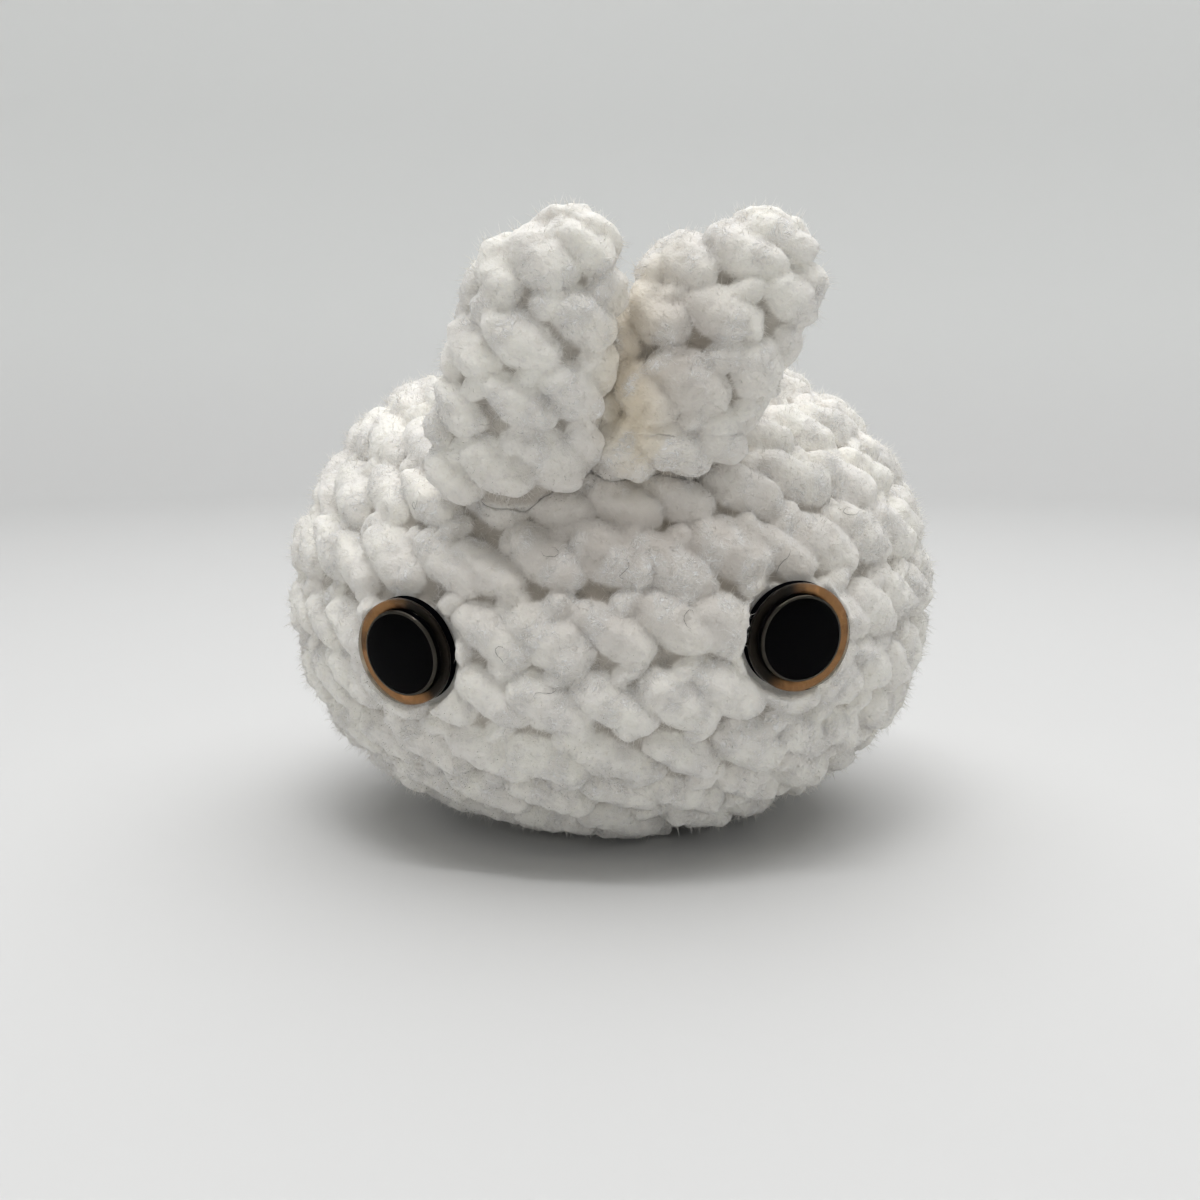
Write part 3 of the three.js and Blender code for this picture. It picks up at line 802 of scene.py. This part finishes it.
def fuzz(name, piece, keep=everywhere):
    """The pile's loose fibres: closed slivers that stand on the fabric."""
    yarn = settings().yarn
    rng = np.random.default_rng(SEEDS[name])
    places, outward, hollow = scattered(piece, FIBRES_PER_SQUARE_MM, rng)
    kept = keep(places) & (hollow < PILE_HOLLOW)
    places, outward = places[kept], outward[kept]
    count = len(places)
    swirl = np.sin(places[:, [1, 2, 0]] * SWIRL_TURNS + np.array(SWIRL_PHASES)) * SWIRL
    leaning = unit(outward + swirl + rng.normal(0, STRAY, (count, 3)))
    reach = yarn.fibre_length * rng.uniform(SHORTEST_FIBRE, 1, (count, 1)) ** SHORT_FIBRES
    side = unit(np.cross(leaning, rng.normal(0, 1, (count, 3))))
    other = np.cross(leaning, side)
    foot = places - outward * FOOT_DEPTH
    free = keep(foot + leaning * reach)
    foot, leaning, side, other, reach = (v[free] for v in (foot, leaning, side, other, reach))
    half = yarn.fibre_width / 2
    corners = [foot + half * (a * side + b * other) for a, b in FOOT_CORNERS]
    corners.append(foot + leaning * reach)
    points = np.stack(corners, 1).reshape(-1, 3)
    starts = len(corners) * np.arange(len(foot))
    faces = (np.array(SLIVER_FACES)[None] + starts[:, None, None]).reshape(-1, 3)
    made = keep_rest(mesh_piece(name, points, faces.tolist()))
    return dressed(made, chenille_fuzz)


def curls(name, piece, places, size, make):
    """Curly fibres that lie on the fabric from the given places, each a closed thin tube."""
    rng = np.random.default_rng(SEEDS[name])
    tree = BVHTree.FromObject(piece, bpy.context.evaluated_depsgraph_get())
    half = settings().yarn.curl_width / 2
    step = size / CURL_STEPS
    paths = []
    for place in places:
        here, turn = Vector(place), rng.normal(0, CURL_TURN)
        heading = Vector(rng.normal(0, 1, 3))
        path = []
        for _ in range(CURL_STEPS):
            on, up, _, _ = tree.find_nearest(here)
            path.append(on + up * half * rng.uniform(*CURL_LIFT))
            turn = CURL_KEPT * turn + rng.normal(0, CURL_TURN)
            heading = (heading - heading.dot(up) * up).normalized()
            heading = heading * math.cos(turn) + up.cross(heading) * math.sin(turn)
            here = on + heading * step
        paths.append(path)
    paths = np.array(paths)
    along = unit(np.gradient(paths, axis=1))
    side = unit(np.cross(along, ODD_WAY))
    other = np.cross(along, side)
    taper = half * np.sin(np.linspace(CURL_TAPER, math.pi - CURL_TAPER, CURL_STEPS))[:, None]
    turns = TAU * np.arange(3) / 3
    rings = [paths + taper * (math.cos(t) * side + math.sin(t) * other) for t in turns]
    points = np.stack(rings, 2).reshape(-1, 3)
    one = tube_faces(CURL_STEPS, 3)
    faces = [[3 * CURL_STEPS * k + i for i in face] for k in range(len(paths)) for face in one]
    return dressed(keep_rest(mesh_piece(name, points, faces)), make)


def curly(name, piece, keep=everywhere):
    """Scatters curly fibres over the matted patches of a fabric."""
    yarn = settings().yarn
    rng = np.random.default_rng(SEEDS[name])
    places, _, hollow = scattered(piece, yarn.curls_per_square_mm, rng)
    likely = mattedness(places) > rng.uniform(CURL_MATTED, 1, len(places))
    kept = likely & (hollow < CURL_HOLLOW) & keep(places)
    return curls(name, piece, places[kept], yarn.curl_length, curly_fibre)


class Nodes:
    """Adds nodes to a material and links them; its noises lie in the piece as it is at rest."""

    def __init__(self, name, bends=False):
        self.material = bpy.data.materials.new(name)
        self.material.use_nodes = True
        self.tree = self.material.node_tree
        self.shader = self.tree.nodes["Principled BSDF"]
        if bends:
            self.place = self.stored("rest", "Vector")
        else:
            self.place = self.add("ShaderNodeTexCoord").outputs["Object"]

    def add(self, kind, inputs=None, **values):
        node = self.tree.nodes.new(kind)
        for name, value in values.items():
            setattr(node, name, value)
        for name, value in (inputs or {}).items():
            self.put(node, name, value)
        return node

    def put(self, node, name, value):
        socket = node.inputs[name]
        if isinstance(value, bpy.types.NodeSocket):
            self.tree.links.new(value, socket)
        elif socket.type == "RGBA":
            socket.default_value = (*value, 1)
        else:
            socket.default_value = value

    def shade(self, **values):
        for name, value in values.items():
            self.put(self.shader, name.replace("_", " "), value)
        return self.material

    def stored(self, name, output="Fac"):
        return self.add("ShaderNodeAttribute", attribute_name=name).outputs[output]

    def noise(self, kind):
        inputs = dict(zip(("Scale", "Detail", "Roughness", "Distortion"), NOISES[kind]))
        return self.add("ShaderNodeTexNoise", {"Vector": self.place, **inputs}).outputs["Fac"]

    def math(self, operation, *values):
        node = self.add("ShaderNodeMath", operation=operation)
        for index, value in enumerate(values):
            self.put(node, index, value)
        return node.outputs[0]

    def ramp(self, factor, low, high):
        inputs = {"Value": factor, "From Min": low, "From Max": high}
        return self.add("ShaderNodeMapRange", inputs, interpolation_type="SMOOTHSTEP").outputs["Result"]

    def mix(self, factor, first, second):
        inputs = {"Factor": factor, MIX_FIRST: first, MIX_SECOND: second}
        return self.add("ShaderNodeMix", inputs, data_type="RGBA").outputs[MIX_RESULT]

    def mottled(self, factor, tint, strength):
        """From the tint to as much of it as the strength says."""
        return self.mix(factor, tint, dimmed(tint, strength))

    def bump(self, height, distance, strength=1.0, normal=None):
        inputs = {"Height": height, "Distance": distance, "Strength": strength}
        if normal:
            inputs["Normal"] = normal
        return self.add("ShaderNodeBump", inputs).outputs["Normal"]


def dimmed(tint, strength):
    return [part * strength for part in tint]


def wool(name, bumpy):
    """White pile, greyer where it is matted, with a painted warm bounce light between the ears and a brow
    greyed partly as wear and partly as painted shade; the bumpy one has curls and painted shade in its
    hollows too.
    """
    yarn = settings().yarn
    made = Nodes(name, bends=True)
    worn = made.stored("worn")
    tufts = made.noise("tufts")
    base = made.mix(made.ramp(made.noise("patches"), low=0.35, high=0.75), yarn.white, yarn.grey)
    # Painted shade: greyer where the tufts noise is low, which is where the tufts bump below dips
    base = made.mix(made.ramp(tufts, low=0.5, high=0.25), base, dimmed(yarn.grey, 0.94))
    # Painted warm bounce light on the yarn between the ears
    base = made.mix(made.stored("painted_bounce_spot"), base, yarn.cream)
    # Brow and ear beside it greyed, partly as wear and partly as painted shade
    base = made.mix(worn, base, yarn.worn)
    if bumpy:
        # Curly fibres follow the contour lines of a twisted noise, in patches
        matted = made.stored("matted")
        ridge = made.math("ABSOLUTE", made.math("SUBTRACT", made.noise("twist"), 0.5))
        curled = made.math("MULTIPLY", made.ramp(ridge, low=0.045, high=0.0), matted)
        base = made.mix(made.math("MULTIPLY", matted, 0.6), base, dimmed(yarn.grey, 0.93))
        base = made.mix(curled, base, yarn.glint)
        # Painted shade: the pile darkens towards the shade colour where it lies deep between the loops,
        # more strongly on the greyed brow
        rubbed_and_shaded = made.math("MULTIPLY_ADD", worn, 0.35, 0.6)
        deep = made.ramp(made.stored("hollow"), low=0.4, high=1.0)
        shaded = made.math("MULTIPLY", deep, rubbed_and_shaded)
        base = made.mix(shaded, base, yarn.shade)
        soft = made.bump(tufts, distance=0.6 * MM, strength=0.6)
        woolly = made.bump(made.noise("wool"), distance=0.3 * MM, strength=0.4, normal=soft)
        lined = made.bump(curled, distance=0.2 * MM, strength=0.7, normal=woolly)
        made.shade(Normal=lined, Subsurface_Weight=0.4)
    return made.shade(
        Base_Color=base,
        Roughness=0.95,
        Subsurface_Radius=(1.0, 0.95, 0.88),
        Subsurface_Scale=1.0 * MM,
        Sheen_Weight=0.35,
        Sheen_Roughness=0.5,
        Specular_IOR_Level=0.15,
    )


def chenille(name):
    return wool(name, bumpy=True)


def chenille_fuzz(name):
    return wool(name, bumpy=False)


def fibre(name, tint):
    made = Nodes(name, bends=True)
    base = made.mottled(made.noise("fibre"), tint, 0.85)
    return made.shade(Base_Color=base, Roughness=0.7, Specular_IOR_Level=0.3)


def curly_fibre(name):
    return fibre(name, settings().yarn.glint)


def dark_lint(name):
    return fibre(name, settings().yarn.lint)


def fibre_filling(name):
    made = Nodes(name, bends=True)
    strands = made.noise("strands")
    base = made.mix(strands, (0.93, 0.93, 0.92), (0.84, 0.84, 0.83))
    bumps = made.bump(strands, distance=0.6 * MM)
    return made.shade(Base_Color=base, Roughness=0.9, Normal=bumps)


def moulded_black(name):
    made = Nodes(name)
    flow = made.noise("flow")
    base = made.mottled(flow, settings().eye.black, 1.8)
    rough = made.ramp(flow, low=-1.0, high=9.0)
    return made.shade(Base_Color=base, Roughness=rough, Specular_IOR_Level=0.0)


def polished_black(name):
    made = Nodes(name)
    scuffs = made.noise("scuffs")
    base = made.mottled(scuffs, settings().eye.black, 1.5)
    rough = made.ramp(scuffs, low=0.0, high=2.2)
    return made.shade(Base_Color=base, Roughness=rough, Specular_IOR_Level=0.6)


def copper_foil(name):
    eye = settings().eye
    made = Nodes(name)
    grain = made.noise("grain")
    patches = made.noise("foil")
    base = made.mottled(grain, eye.copper, 0.62)
    base = made.mix(made.ramp(patches, low=0.55, high=0.3), base, dimmed(eye.copper, 0.3))
    base = made.mix(made.ramp(patches, low=0.6, high=0.75), base, dimmed(eye.copper, 1.6))
    # Painted shade on the ring's nose side
    base = made.mix(made.ramp(made.stored("nose_side"), low=0.05, high=0.45), base, eye.burnt)
    bumps = made.bump(grain, distance=0.03 * MM, strength=0.6)
    return made.shade(Base_Color=base, Metallic=0.75, Roughness=0.38, Normal=bumps)


def clear_dome(name):
    made = Nodes(name)
    tint = made.mottled(made.noise("glass"), settings().eye.amber, 0.97)
    return made.shade(Base_Color=tint, Roughness=0.01, Transmission_Weight=1.0, IOR=1.1)


def white_plastic(name):
    made = Nodes(name)
    grain = made.noise("plastic")
    base = made.mottled(grain, settings().eye.washer, 0.94)
    bumps = made.bump(grain, distance=0.02 * MM, strength=0.4)
    return made.shade(Base_Color=base, Roughness=0.45, Normal=bumps)


def pale_card(name):
    stage = settings().stage
    made = Nodes(name)
    height = made.add("ShaderNodeSeparateXYZ", {"Vector": made.place}).outputs["Z"]
    base = made.mix(made.ramp(height, low=0.0, high=0.08), stage.floor, stage.wall)
    bumps = made.bump(made.noise("card"), distance=0.05 * MM, strength=0.2)
    return made.shade(Base_Color=base, Roughness=0.85, Normal=bumps)


def material(make):
    """The material that a function makes, made once and named after it."""
    return bpy.data.materials.get(make.__name__) or make(make.__name__)


def dressed(piece, make):
    piece.data.materials.clear()
    piece.data.materials.append(material(make))
    return piece


def cut(piece, cutters):
    """Takes closed meshes out of a piece."""
    for cutter in cutters:
        modified(piece, "BOOLEAN", operation="DIFFERENCE", object=cutter, solver="MANIFOLD")
    applied(piece)
    for cutter in cutters:
        bpy.data.objects.remove(cutter)


def revolved(name, outline, place=Matrix.Identity(4), sides=REVOLVE_SIDES):
    """A closed solid turned about Z; the outline runs from the axis back to it, or closes on itself."""
    outline = np.asarray(outline, float)
    angles = np.arange(sides) * TAU / sides
    on_axis = outline[:, 0] < TINY
    points, index = [], []
    for (radius, height), centred in zip(outline, on_axis):
        index.append(len(points))
        for angle in angles[: 1 if centred else sides]:
            points.append((radius * math.cos(angle), radius * math.sin(angle), height))
    faces = []
    pairs = len(outline) if not on_axis.any() else len(outline) - 1
    for i in range(pairs):
        j = (i + 1) % len(outline)
        for s in range(sides):
            n = (s + 1) % sides
            low = [index[i]] if on_axis[i] else [index[i] + s, index[i] + n]
            high = [index[j]] if on_axis[j] else [index[j] + n, index[j] + s]
            if len(low) + len(high) > 2:
                faces.append(low + high)
    return mesh_piece(name, moved(np.array(points), place), faces)


def rounded(outline, radius):
    """The outline with each corner off the axis rounded."""
    made = []
    count = len(outline)
    closed = outline[0][0] > 0
    for i, point in enumerate(outline):
        here = np.array(point, float)
        if here[0] == 0 or (not closed and i in (0, count - 1)):
            made.append(here)
            continue
        before, after = (np.array(outline[(i + k) % count], float) for k in (-1, 1))
        back, on = before - here, after - here
        reach = min(radius, *(np.linalg.norm(edge) / ROUNDING_LIMIT for edge in (back, on)))
        start, end = here + reach * unit(back), here + reach * unit(on)
        for t in np.linspace(0, 1, ROUNDING_STEPS):
            made.append((1 - t) ** 2 * start + 2 * t * (1 - t) * here + t**2 * end)
    return made


def quarter(radius, bottom, rise, steps, fullness=2.0):
    """From the rim to the axis along a quarter of an oval, squarer where it is fuller."""
    angles = np.linspace(0, math.pi / 2, steps + 1)[1:]
    power = 2 / fullness
    reach = [radius * math.cos(a) ** power if a < math.pi / 2 else 0.0 for a in angles]
    return [(r, bottom + rise * math.sin(a) ** power) for r, a in zip(reach, angles)]


def cylinder(name, radius, bottom, top, place):
    return revolved(name, [(0, bottom), (radius, bottom), (radius, top), (0, top)], place, HOLE_SIDES)


def inner_ball(name, depth):
    """The smooth ball this deep under the body's fabric."""
    reach, _, height, _ = body_outline(-depth)
    outline = list(zip(np.maximum(reach, 0), height))[::BALL_STRIDE]
    return revolved(name, [*outline, (0, height[-1])])


def ear_socket(side):
    """The room that the ear's own fabric takes up in the body, with a little air round it."""
    ear = bpy.data.objects[f"{side}_ear_fabric"]
    socket = bpy.data.objects.new(f"{side}_ear_socket", ear.data.copy())
    bpy.context.scene.collection.objects.link(socket)
    modified(socket, "DISPLACE", strength=settings().yarn.seam, mid_level=0.0)
    modified(socket, "REMESH", mode="VOXEL", voxel_size=SOCKET_CELL)
    return applied(socket)


def eye_cutters(side, washer_bottom, washer_top):
    """Room for an eye's stem and, between two heights, for its washer."""
    eye, place = settings().eye, eye_place(side)
    stem = eye.stem_width / 2 + eye.clearance
    washer = eye.washer_width / 2 + eye.clearance
    return [
        cylinder(f"{side}_stem_hole", stem, -eye.stem_length - eye.clearance, eye.clearance, place),
        cylinder(f"{side}_washer_seat", washer, washer_bottom, washer_top, place),
    ]


def open_fabric(places):
    """Where the body's pile may stand: over the floor, off the eyes and not in the hollows."""
    free = places[:, 2] > PILE_OVER_FLOOR
    covered = settings().eye.width / 2 + PILE_BESIDE_EYE
    for side in SIDES:
        local = moved(places, eye_place(side).inverted())
        under = np.hypot(local[:, 0], local[:, 1]) < covered
        free &= ~(under & (local[:, 2] > -EYE_DEPTH))
    reach, _, height, _ = body_outline(-PILE_INSIDE)
    return free & (np.hypot(places[:, 0], places[:, 1]) > np.interp(places[:, 2], height, reach))


class BUNNY_OT_body(Operator):
    """Crochet the ball, press the eyes into it and hollow it for its stuffing"""

    bl_idname = "bunny.body"
    bl_label = "Body"

    def execute(self, context):
        bunny = settings()
        piece = crocheted("body_fabric", body_fabric())
        points = vertices(piece.data)
        points[:, 2] = soft_most(points[:, 2], FLOOR_SOFTNESS)
        for side in SIDES:
            points = pressed_by_eye(points, eye_place(side))
        set_vertices(piece.data, points)
        holes = [inner_ball("hollow", bunny.yarn.fabric_thickness)]
        holes += [ear_socket(side) for side in SIDES]
        for side in SIDES:
            holes += eye_cutters(side, -bunny.eye.stem_length, bunny.eye.clearance - bunny.eye.washer_top)
        cut(piece, holes)
        keep_rest(piece)
        dressed(piece, chenille)
        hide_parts("body_shell")
        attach(piece, "body")
        pile = fuzz("body_fuzz", piece, open_fabric)
        curled = curly("body_curls", piece, open_fabric)
        lint = curls("body_lint", piece, np.array(LINT_PLACES) * MM, bunny.yarn.lint_length, dark_lint)
        for fibres in (pile, curled, lint):
            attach(fibres, "body")
        return {"FINISHED"}


class BUNNY_OT_filling(Operator):
    """Stuff the body with loose fibre"""

    bl_idname = "bunny.filling"
    bl_label = "Filling"

    def execute(self, context):
        bunny, eye = settings(), settings().eye
        piece = inner_ball("body_filling_fibre", bunny.yarn.fabric_thickness + FILLING_AIR)
        flock = clouds("flock", FLOCK_SIZE, 2)
        modified(piece, "DISPLACE", texture=flock, strength=-FLOCK_DEPTH, mid_level=0.2)
        applied(piece)
        pockets = []
        for side in SIDES:
            bottom = -eye.washer_top - eye.washer_thickness - eye.collar_height - eye.clearance
            pockets += reversed(eye_cutters(side, bottom, eye.clearance))
        cut(piece, pockets)
        keep_rest(piece)
        dressed(piece, fibre_filling)
        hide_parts("body_filling")
        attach(piece, "body")
        return {"FINISHED"}


class BUNNY_OT_ears(Operator):
    """Crochet both ears and sew them to the body"""

    bl_idname = "bunny.ears"
    bl_label = "Ears"

    def execute(self, context):
        for side in SIDES:
            fabric = ear_fabric(side)
            piece = crocheted(f"{side}_ear_fabric", fabric)
            keep_rest(piece)
            dressed(piece, chenille)
            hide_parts(f"{side}_ear")
            pile = fuzz(f"{side}_ear_fuzz", piece)
            curled = curly(f"{side}_ear_curls", piece)
            for soft in (piece, pile, curled):
                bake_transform(soft)
        return {"FINISHED"}


class BUNNY_OT_tail(Operator):
    """Crochet the tail and sew it to the back"""

    bl_idname = "bunny.tail"
    bl_label = "Tail"

    def execute(self, context):
        piece = crocheted("tail_fabric", tail_fabric(), grown=0.85)
        keep_rest(piece)
        dressed(piece, chenille)
        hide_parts("tail")
        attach(piece, "body")
        pile = fuzz("tail_fuzz", piece)
        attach(pile, "body")
        return {"FINISHED"}


class BUNNY_OT_eyes(Operator):
    """Mould the two safety eyes and push their washers on"""

    bl_idname = "bunny.eyes"
    bl_label = "Eyes"

    def execute(self, context):
        eye = settings().eye
        for side in SIDES:
            self.dome(eye, side)
            self.ring(eye, side)
            self.moulding(eye, side)
            self.locking_washer(eye, side)
        return {"FINISHED"}

    def seat(self, piece, side, node, make, slot):
        dressed(piece, make)
        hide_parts(f"{side}_eye_{node}")
        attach(piece, f"{side}_eye")

    def dome(self, eye, side):
        radius, bottom, rim = eye.width / 2, eye.flange + DOME_LIFT, eye.flange + eye.rim
        outline = [(0, bottom), (radius - DOME_EDGE, bottom), (radius, bottom + DOME_EDGE), (radius, rim)]
        outline += quarter(radius, rim, eye.dome, DOME_STEPS, DOME_FULLNESS)
        piece = revolved(f"{side}_eye_dome", outline, eye_place(side))
        self.seat(piece, side, "lens", clear_dome, "eye_lens")

    def ring(self, eye, side):
        inner = eye.pupil_width / 2 - RING_REACH
        outer = eye.width / 2 - eye.ring_border
        bottom = eye.flange + RING_LIFT
        top = bottom + eye.ring_thickness
        outline = [(inner, bottom), (outer, bottom), (outer, top), (inner, top)]
        place = eye_place(side)
        piece = revolved(f"{side}_eye_ring", rounded(outline, RING_ROUNDING), place)
        # How far each corner of the ring faces the nose: the mask of its painted shade
        back = place.inverted()
        nose = np.array([back.to_3x3() @ Vector((0, -1, 0))])
        local = unit(moved(vertices(piece.data), back) * (1, 1, 0))
        store(piece, "nose_side", (local * unit(nose * (1, 1, 0))).sum(1))
        self.seat(piece, side, "iris", copper_foil, "eye_iris")

    def moulding(self, eye, side):
        stem, bare = eye.stem_width / 2, eye.stem_width / 2 - eye.rib_depth
        pupil, rim = eye.pupil_width / 2, eye.width / 2
        outline = [(0, -eye.stem_length), (eye.tip_width / 2, -eye.stem_length)]
        foot = eye.tip_length - eye.stem_length
        for rib in range(eye.ribs):
            low = foot + rib * eye.rib_pitch
            outline += [(bare, low), (stem, low + eye.rib_pitch / 2)]
        edge = eye.flange + eye.pupil_height - eye.pupil_round
        outline += [(bare, foot + eye.ribs * eye.rib_pitch), (bare, 0), (rim, 0), (rim, eye.flange)]
        outline += [(pupil, eye.flange), (pupil, edge)]
        outline = rounded(outline, MOULDING_ROUNDING)[:-1]
        inner = pupil - eye.pupil_round
        for turn in np.linspace(0, math.pi / 2, PUPIL_STEPS):
            out, up = eye.pupil_round * math.cos(turn), eye.pupil_round * math.sin(turn)
            outline.append((inner + out, edge + up))
        outline.append((0, edge + eye.pupil_round))
        place = eye_place(side)
        piece = revolved(f"{side}_eye_moulding", outline, place)
        self.seat(piece, side, "shank", moulded_black, "eye_black")
        piece.data.materials.append(material(polished_black))
        for face in piece.data.polygons:
            x, y, z = place.inverted() @ face.center
            face.material_index = int(z > edge and math.hypot(x, y) > eye.polished_share * pupil)

    def locking_washer(self, eye, side):
        hole, collar, width = eye.stem_width / 2 + eye.gap, eye.collar_width / 2, eye.washer_width / 2
        top, bottom = -eye.washer_top, -eye.washer_top - eye.washer_thickness
        foot = bottom - eye.collar_height
        outline = [(hole, foot), (collar, foot), (collar, bottom)]
        outline += [(width, bottom), (width, top), (hole, top)]
        piece = revolved(f"{side}_eye_locking_washer", rounded(outline, WASHER_ROUNDING), eye_place(side))
        self.seat(piece, side, "washer", white_plastic, "eye_washer")


class BUNNY_OT_stage(Operator):
    """Lay the pale sweep, hang the soft lights and place the camera"""

    bl_idname = "bunny.stage"
    bl_label = "Stage"

    def execute(self, context):
        self.sweep()
        self.light()
        self.camera()
        return {"FINISHED"}

    def sweep(self):
        stage = settings().stage
        flat, cove = stage.flat_radius, stage.cove_radius
        outline = [(r, 0.0) for r in np.linspace(0, flat, FLOOR_STEPS)]
        for angle in np.linspace(0, math.pi / 2, COVE_STEPS)[1:]:
            outline.append((flat + cove * math.sin(angle), cove * (1 - math.cos(angle))))
        wall = flat + cove
        back = wall + SWEEP_THICKNESS
        outline += [(wall, stage.wall_height), (back, stage.wall_height), (back, -SWEEP_THICKNESS)]
        outline.append((0, -SWEEP_THICKNESS))
        piece = revolved("floor_sweep", outline[::-1], sides=SWEEP_SIDES)
        piece.data.materials.append(material(pale_card))

    def light(self):
        world = bpy.data.worlds.new("soft_room")
        world.use_nodes = True
        sky = world.node_tree.nodes["Background"]
        sky.inputs["Color"].default_value = (1, 1, 1, 1)
        sky.inputs["Strength"].default_value = ROOM_LIGHT
        bpy.context.scene.world = world
        for name, (place, target, spans, watts) in LAMPS.items():
            self.lamp(name, place, target, spans, watts)

    def lamp(self, name, place, target, spans, watts):
        lamp = bpy.data.lights.new(name, "AREA")
        lamp.shape = "ELLIPSE"
        lamp.size, lamp.size_y = spans
        lamp.energy = watts
        holder = bpy.data.objects.new(name, lamp)
        holder.location = place
        aim = Vector(target) - Vector(place)
        holder.rotation_euler = aim.to_track_quat("-Z", "Y").to_euler()
        bpy.context.scene.collection.objects.link(holder)

    def camera(self):
        stage = settings().stage
        data = bpy.data.cameras.new("camera")
        data.lens = stage.lens
        data.clip_start = 10 * MM
        holder = bpy.data.objects.new("camera", data)
        ahead = Vector((0, math.cos(stage.down), -math.sin(stage.down)))
        above = Vector((0, math.sin(stage.down), math.cos(stage.down)))
        aim = Vector((0, 0, stage.aim_height))
        sideways = Vector((1, 0, 0))
        holder.location = aim - ahead * stage.distance - (sideways + above) * stage.off_centre
        holder.rotation_euler = (math.pi / 2 - stage.down, 0, 0)
        bpy.context.scene.collection.objects.link(holder)
        bpy.context.scene.camera = holder
        bpy.context.scene.view_settings.view_transform = "Standard"


class BUNNY_PT_panel(Panel):
    """Everything that makes up the bunny"""

    bl_idname = "BUNNY_PT_panel"
    bl_label = "Crochet Bunny"
    bl_space_type = "VIEW_3D"
    bl_region_type = "UI"
    bl_category = "Bunny"

    def draw(self, context):
        bunny = context.scene.bunny
        for name in ("yarn", "body", "left_ear", "right_ear", "tail", "eye", "stage"):
            box = self.layout.box()
            box.label(text=bunny.bl_rna.properties[name].name)
            values = getattr(bunny, name)
            for key in values.bl_rna.properties.keys():
                if key not in ("rna_type", "name"):
                    box.prop(values, key)
        for step in STEPS:
            self.layout.operator(step.bl_idname)


STEPS = (
    BUNNY_OT_stage,
    BUNNY_OT_ears,
    BUNNY_OT_body,
    BUNNY_OT_filling,
    BUNNY_OT_tail,
    BUNNY_OT_eyes,
)
GROUPS = (
    BunnyYarn,
    BunnyBody,
    BunnyLeftEar,
    BunnyRightEar,
    BunnyTail,
    BunnyEye,
    BunnyStage,
    BunnySettings,
)


def register():
    for kind in (*GROUPS, *STEPS, BUNNY_PT_panel):
        bpy.utils.register_class(kind)
    bpy.types.Scene.bunny = group(BunnySettings, "Bunny", "The bunny's sizes and colours")


def unregister():
    del bpy.types.Scene.bunny
    for kind in reversed((*GROUPS, *STEPS, BUNNY_PT_panel)):
        bpy.utils.unregister_class(kind)


def main():
    register()
    bpy.ops.bunny.stage()
    bpy.ops.bunny.ears()
    bpy.ops.bunny.body()
    bpy.ops.bunny.filling()
    bpy.ops.bunny.tail()
    bpy.ops.bunny.eyes()


if __name__ == "__main__":
    main()
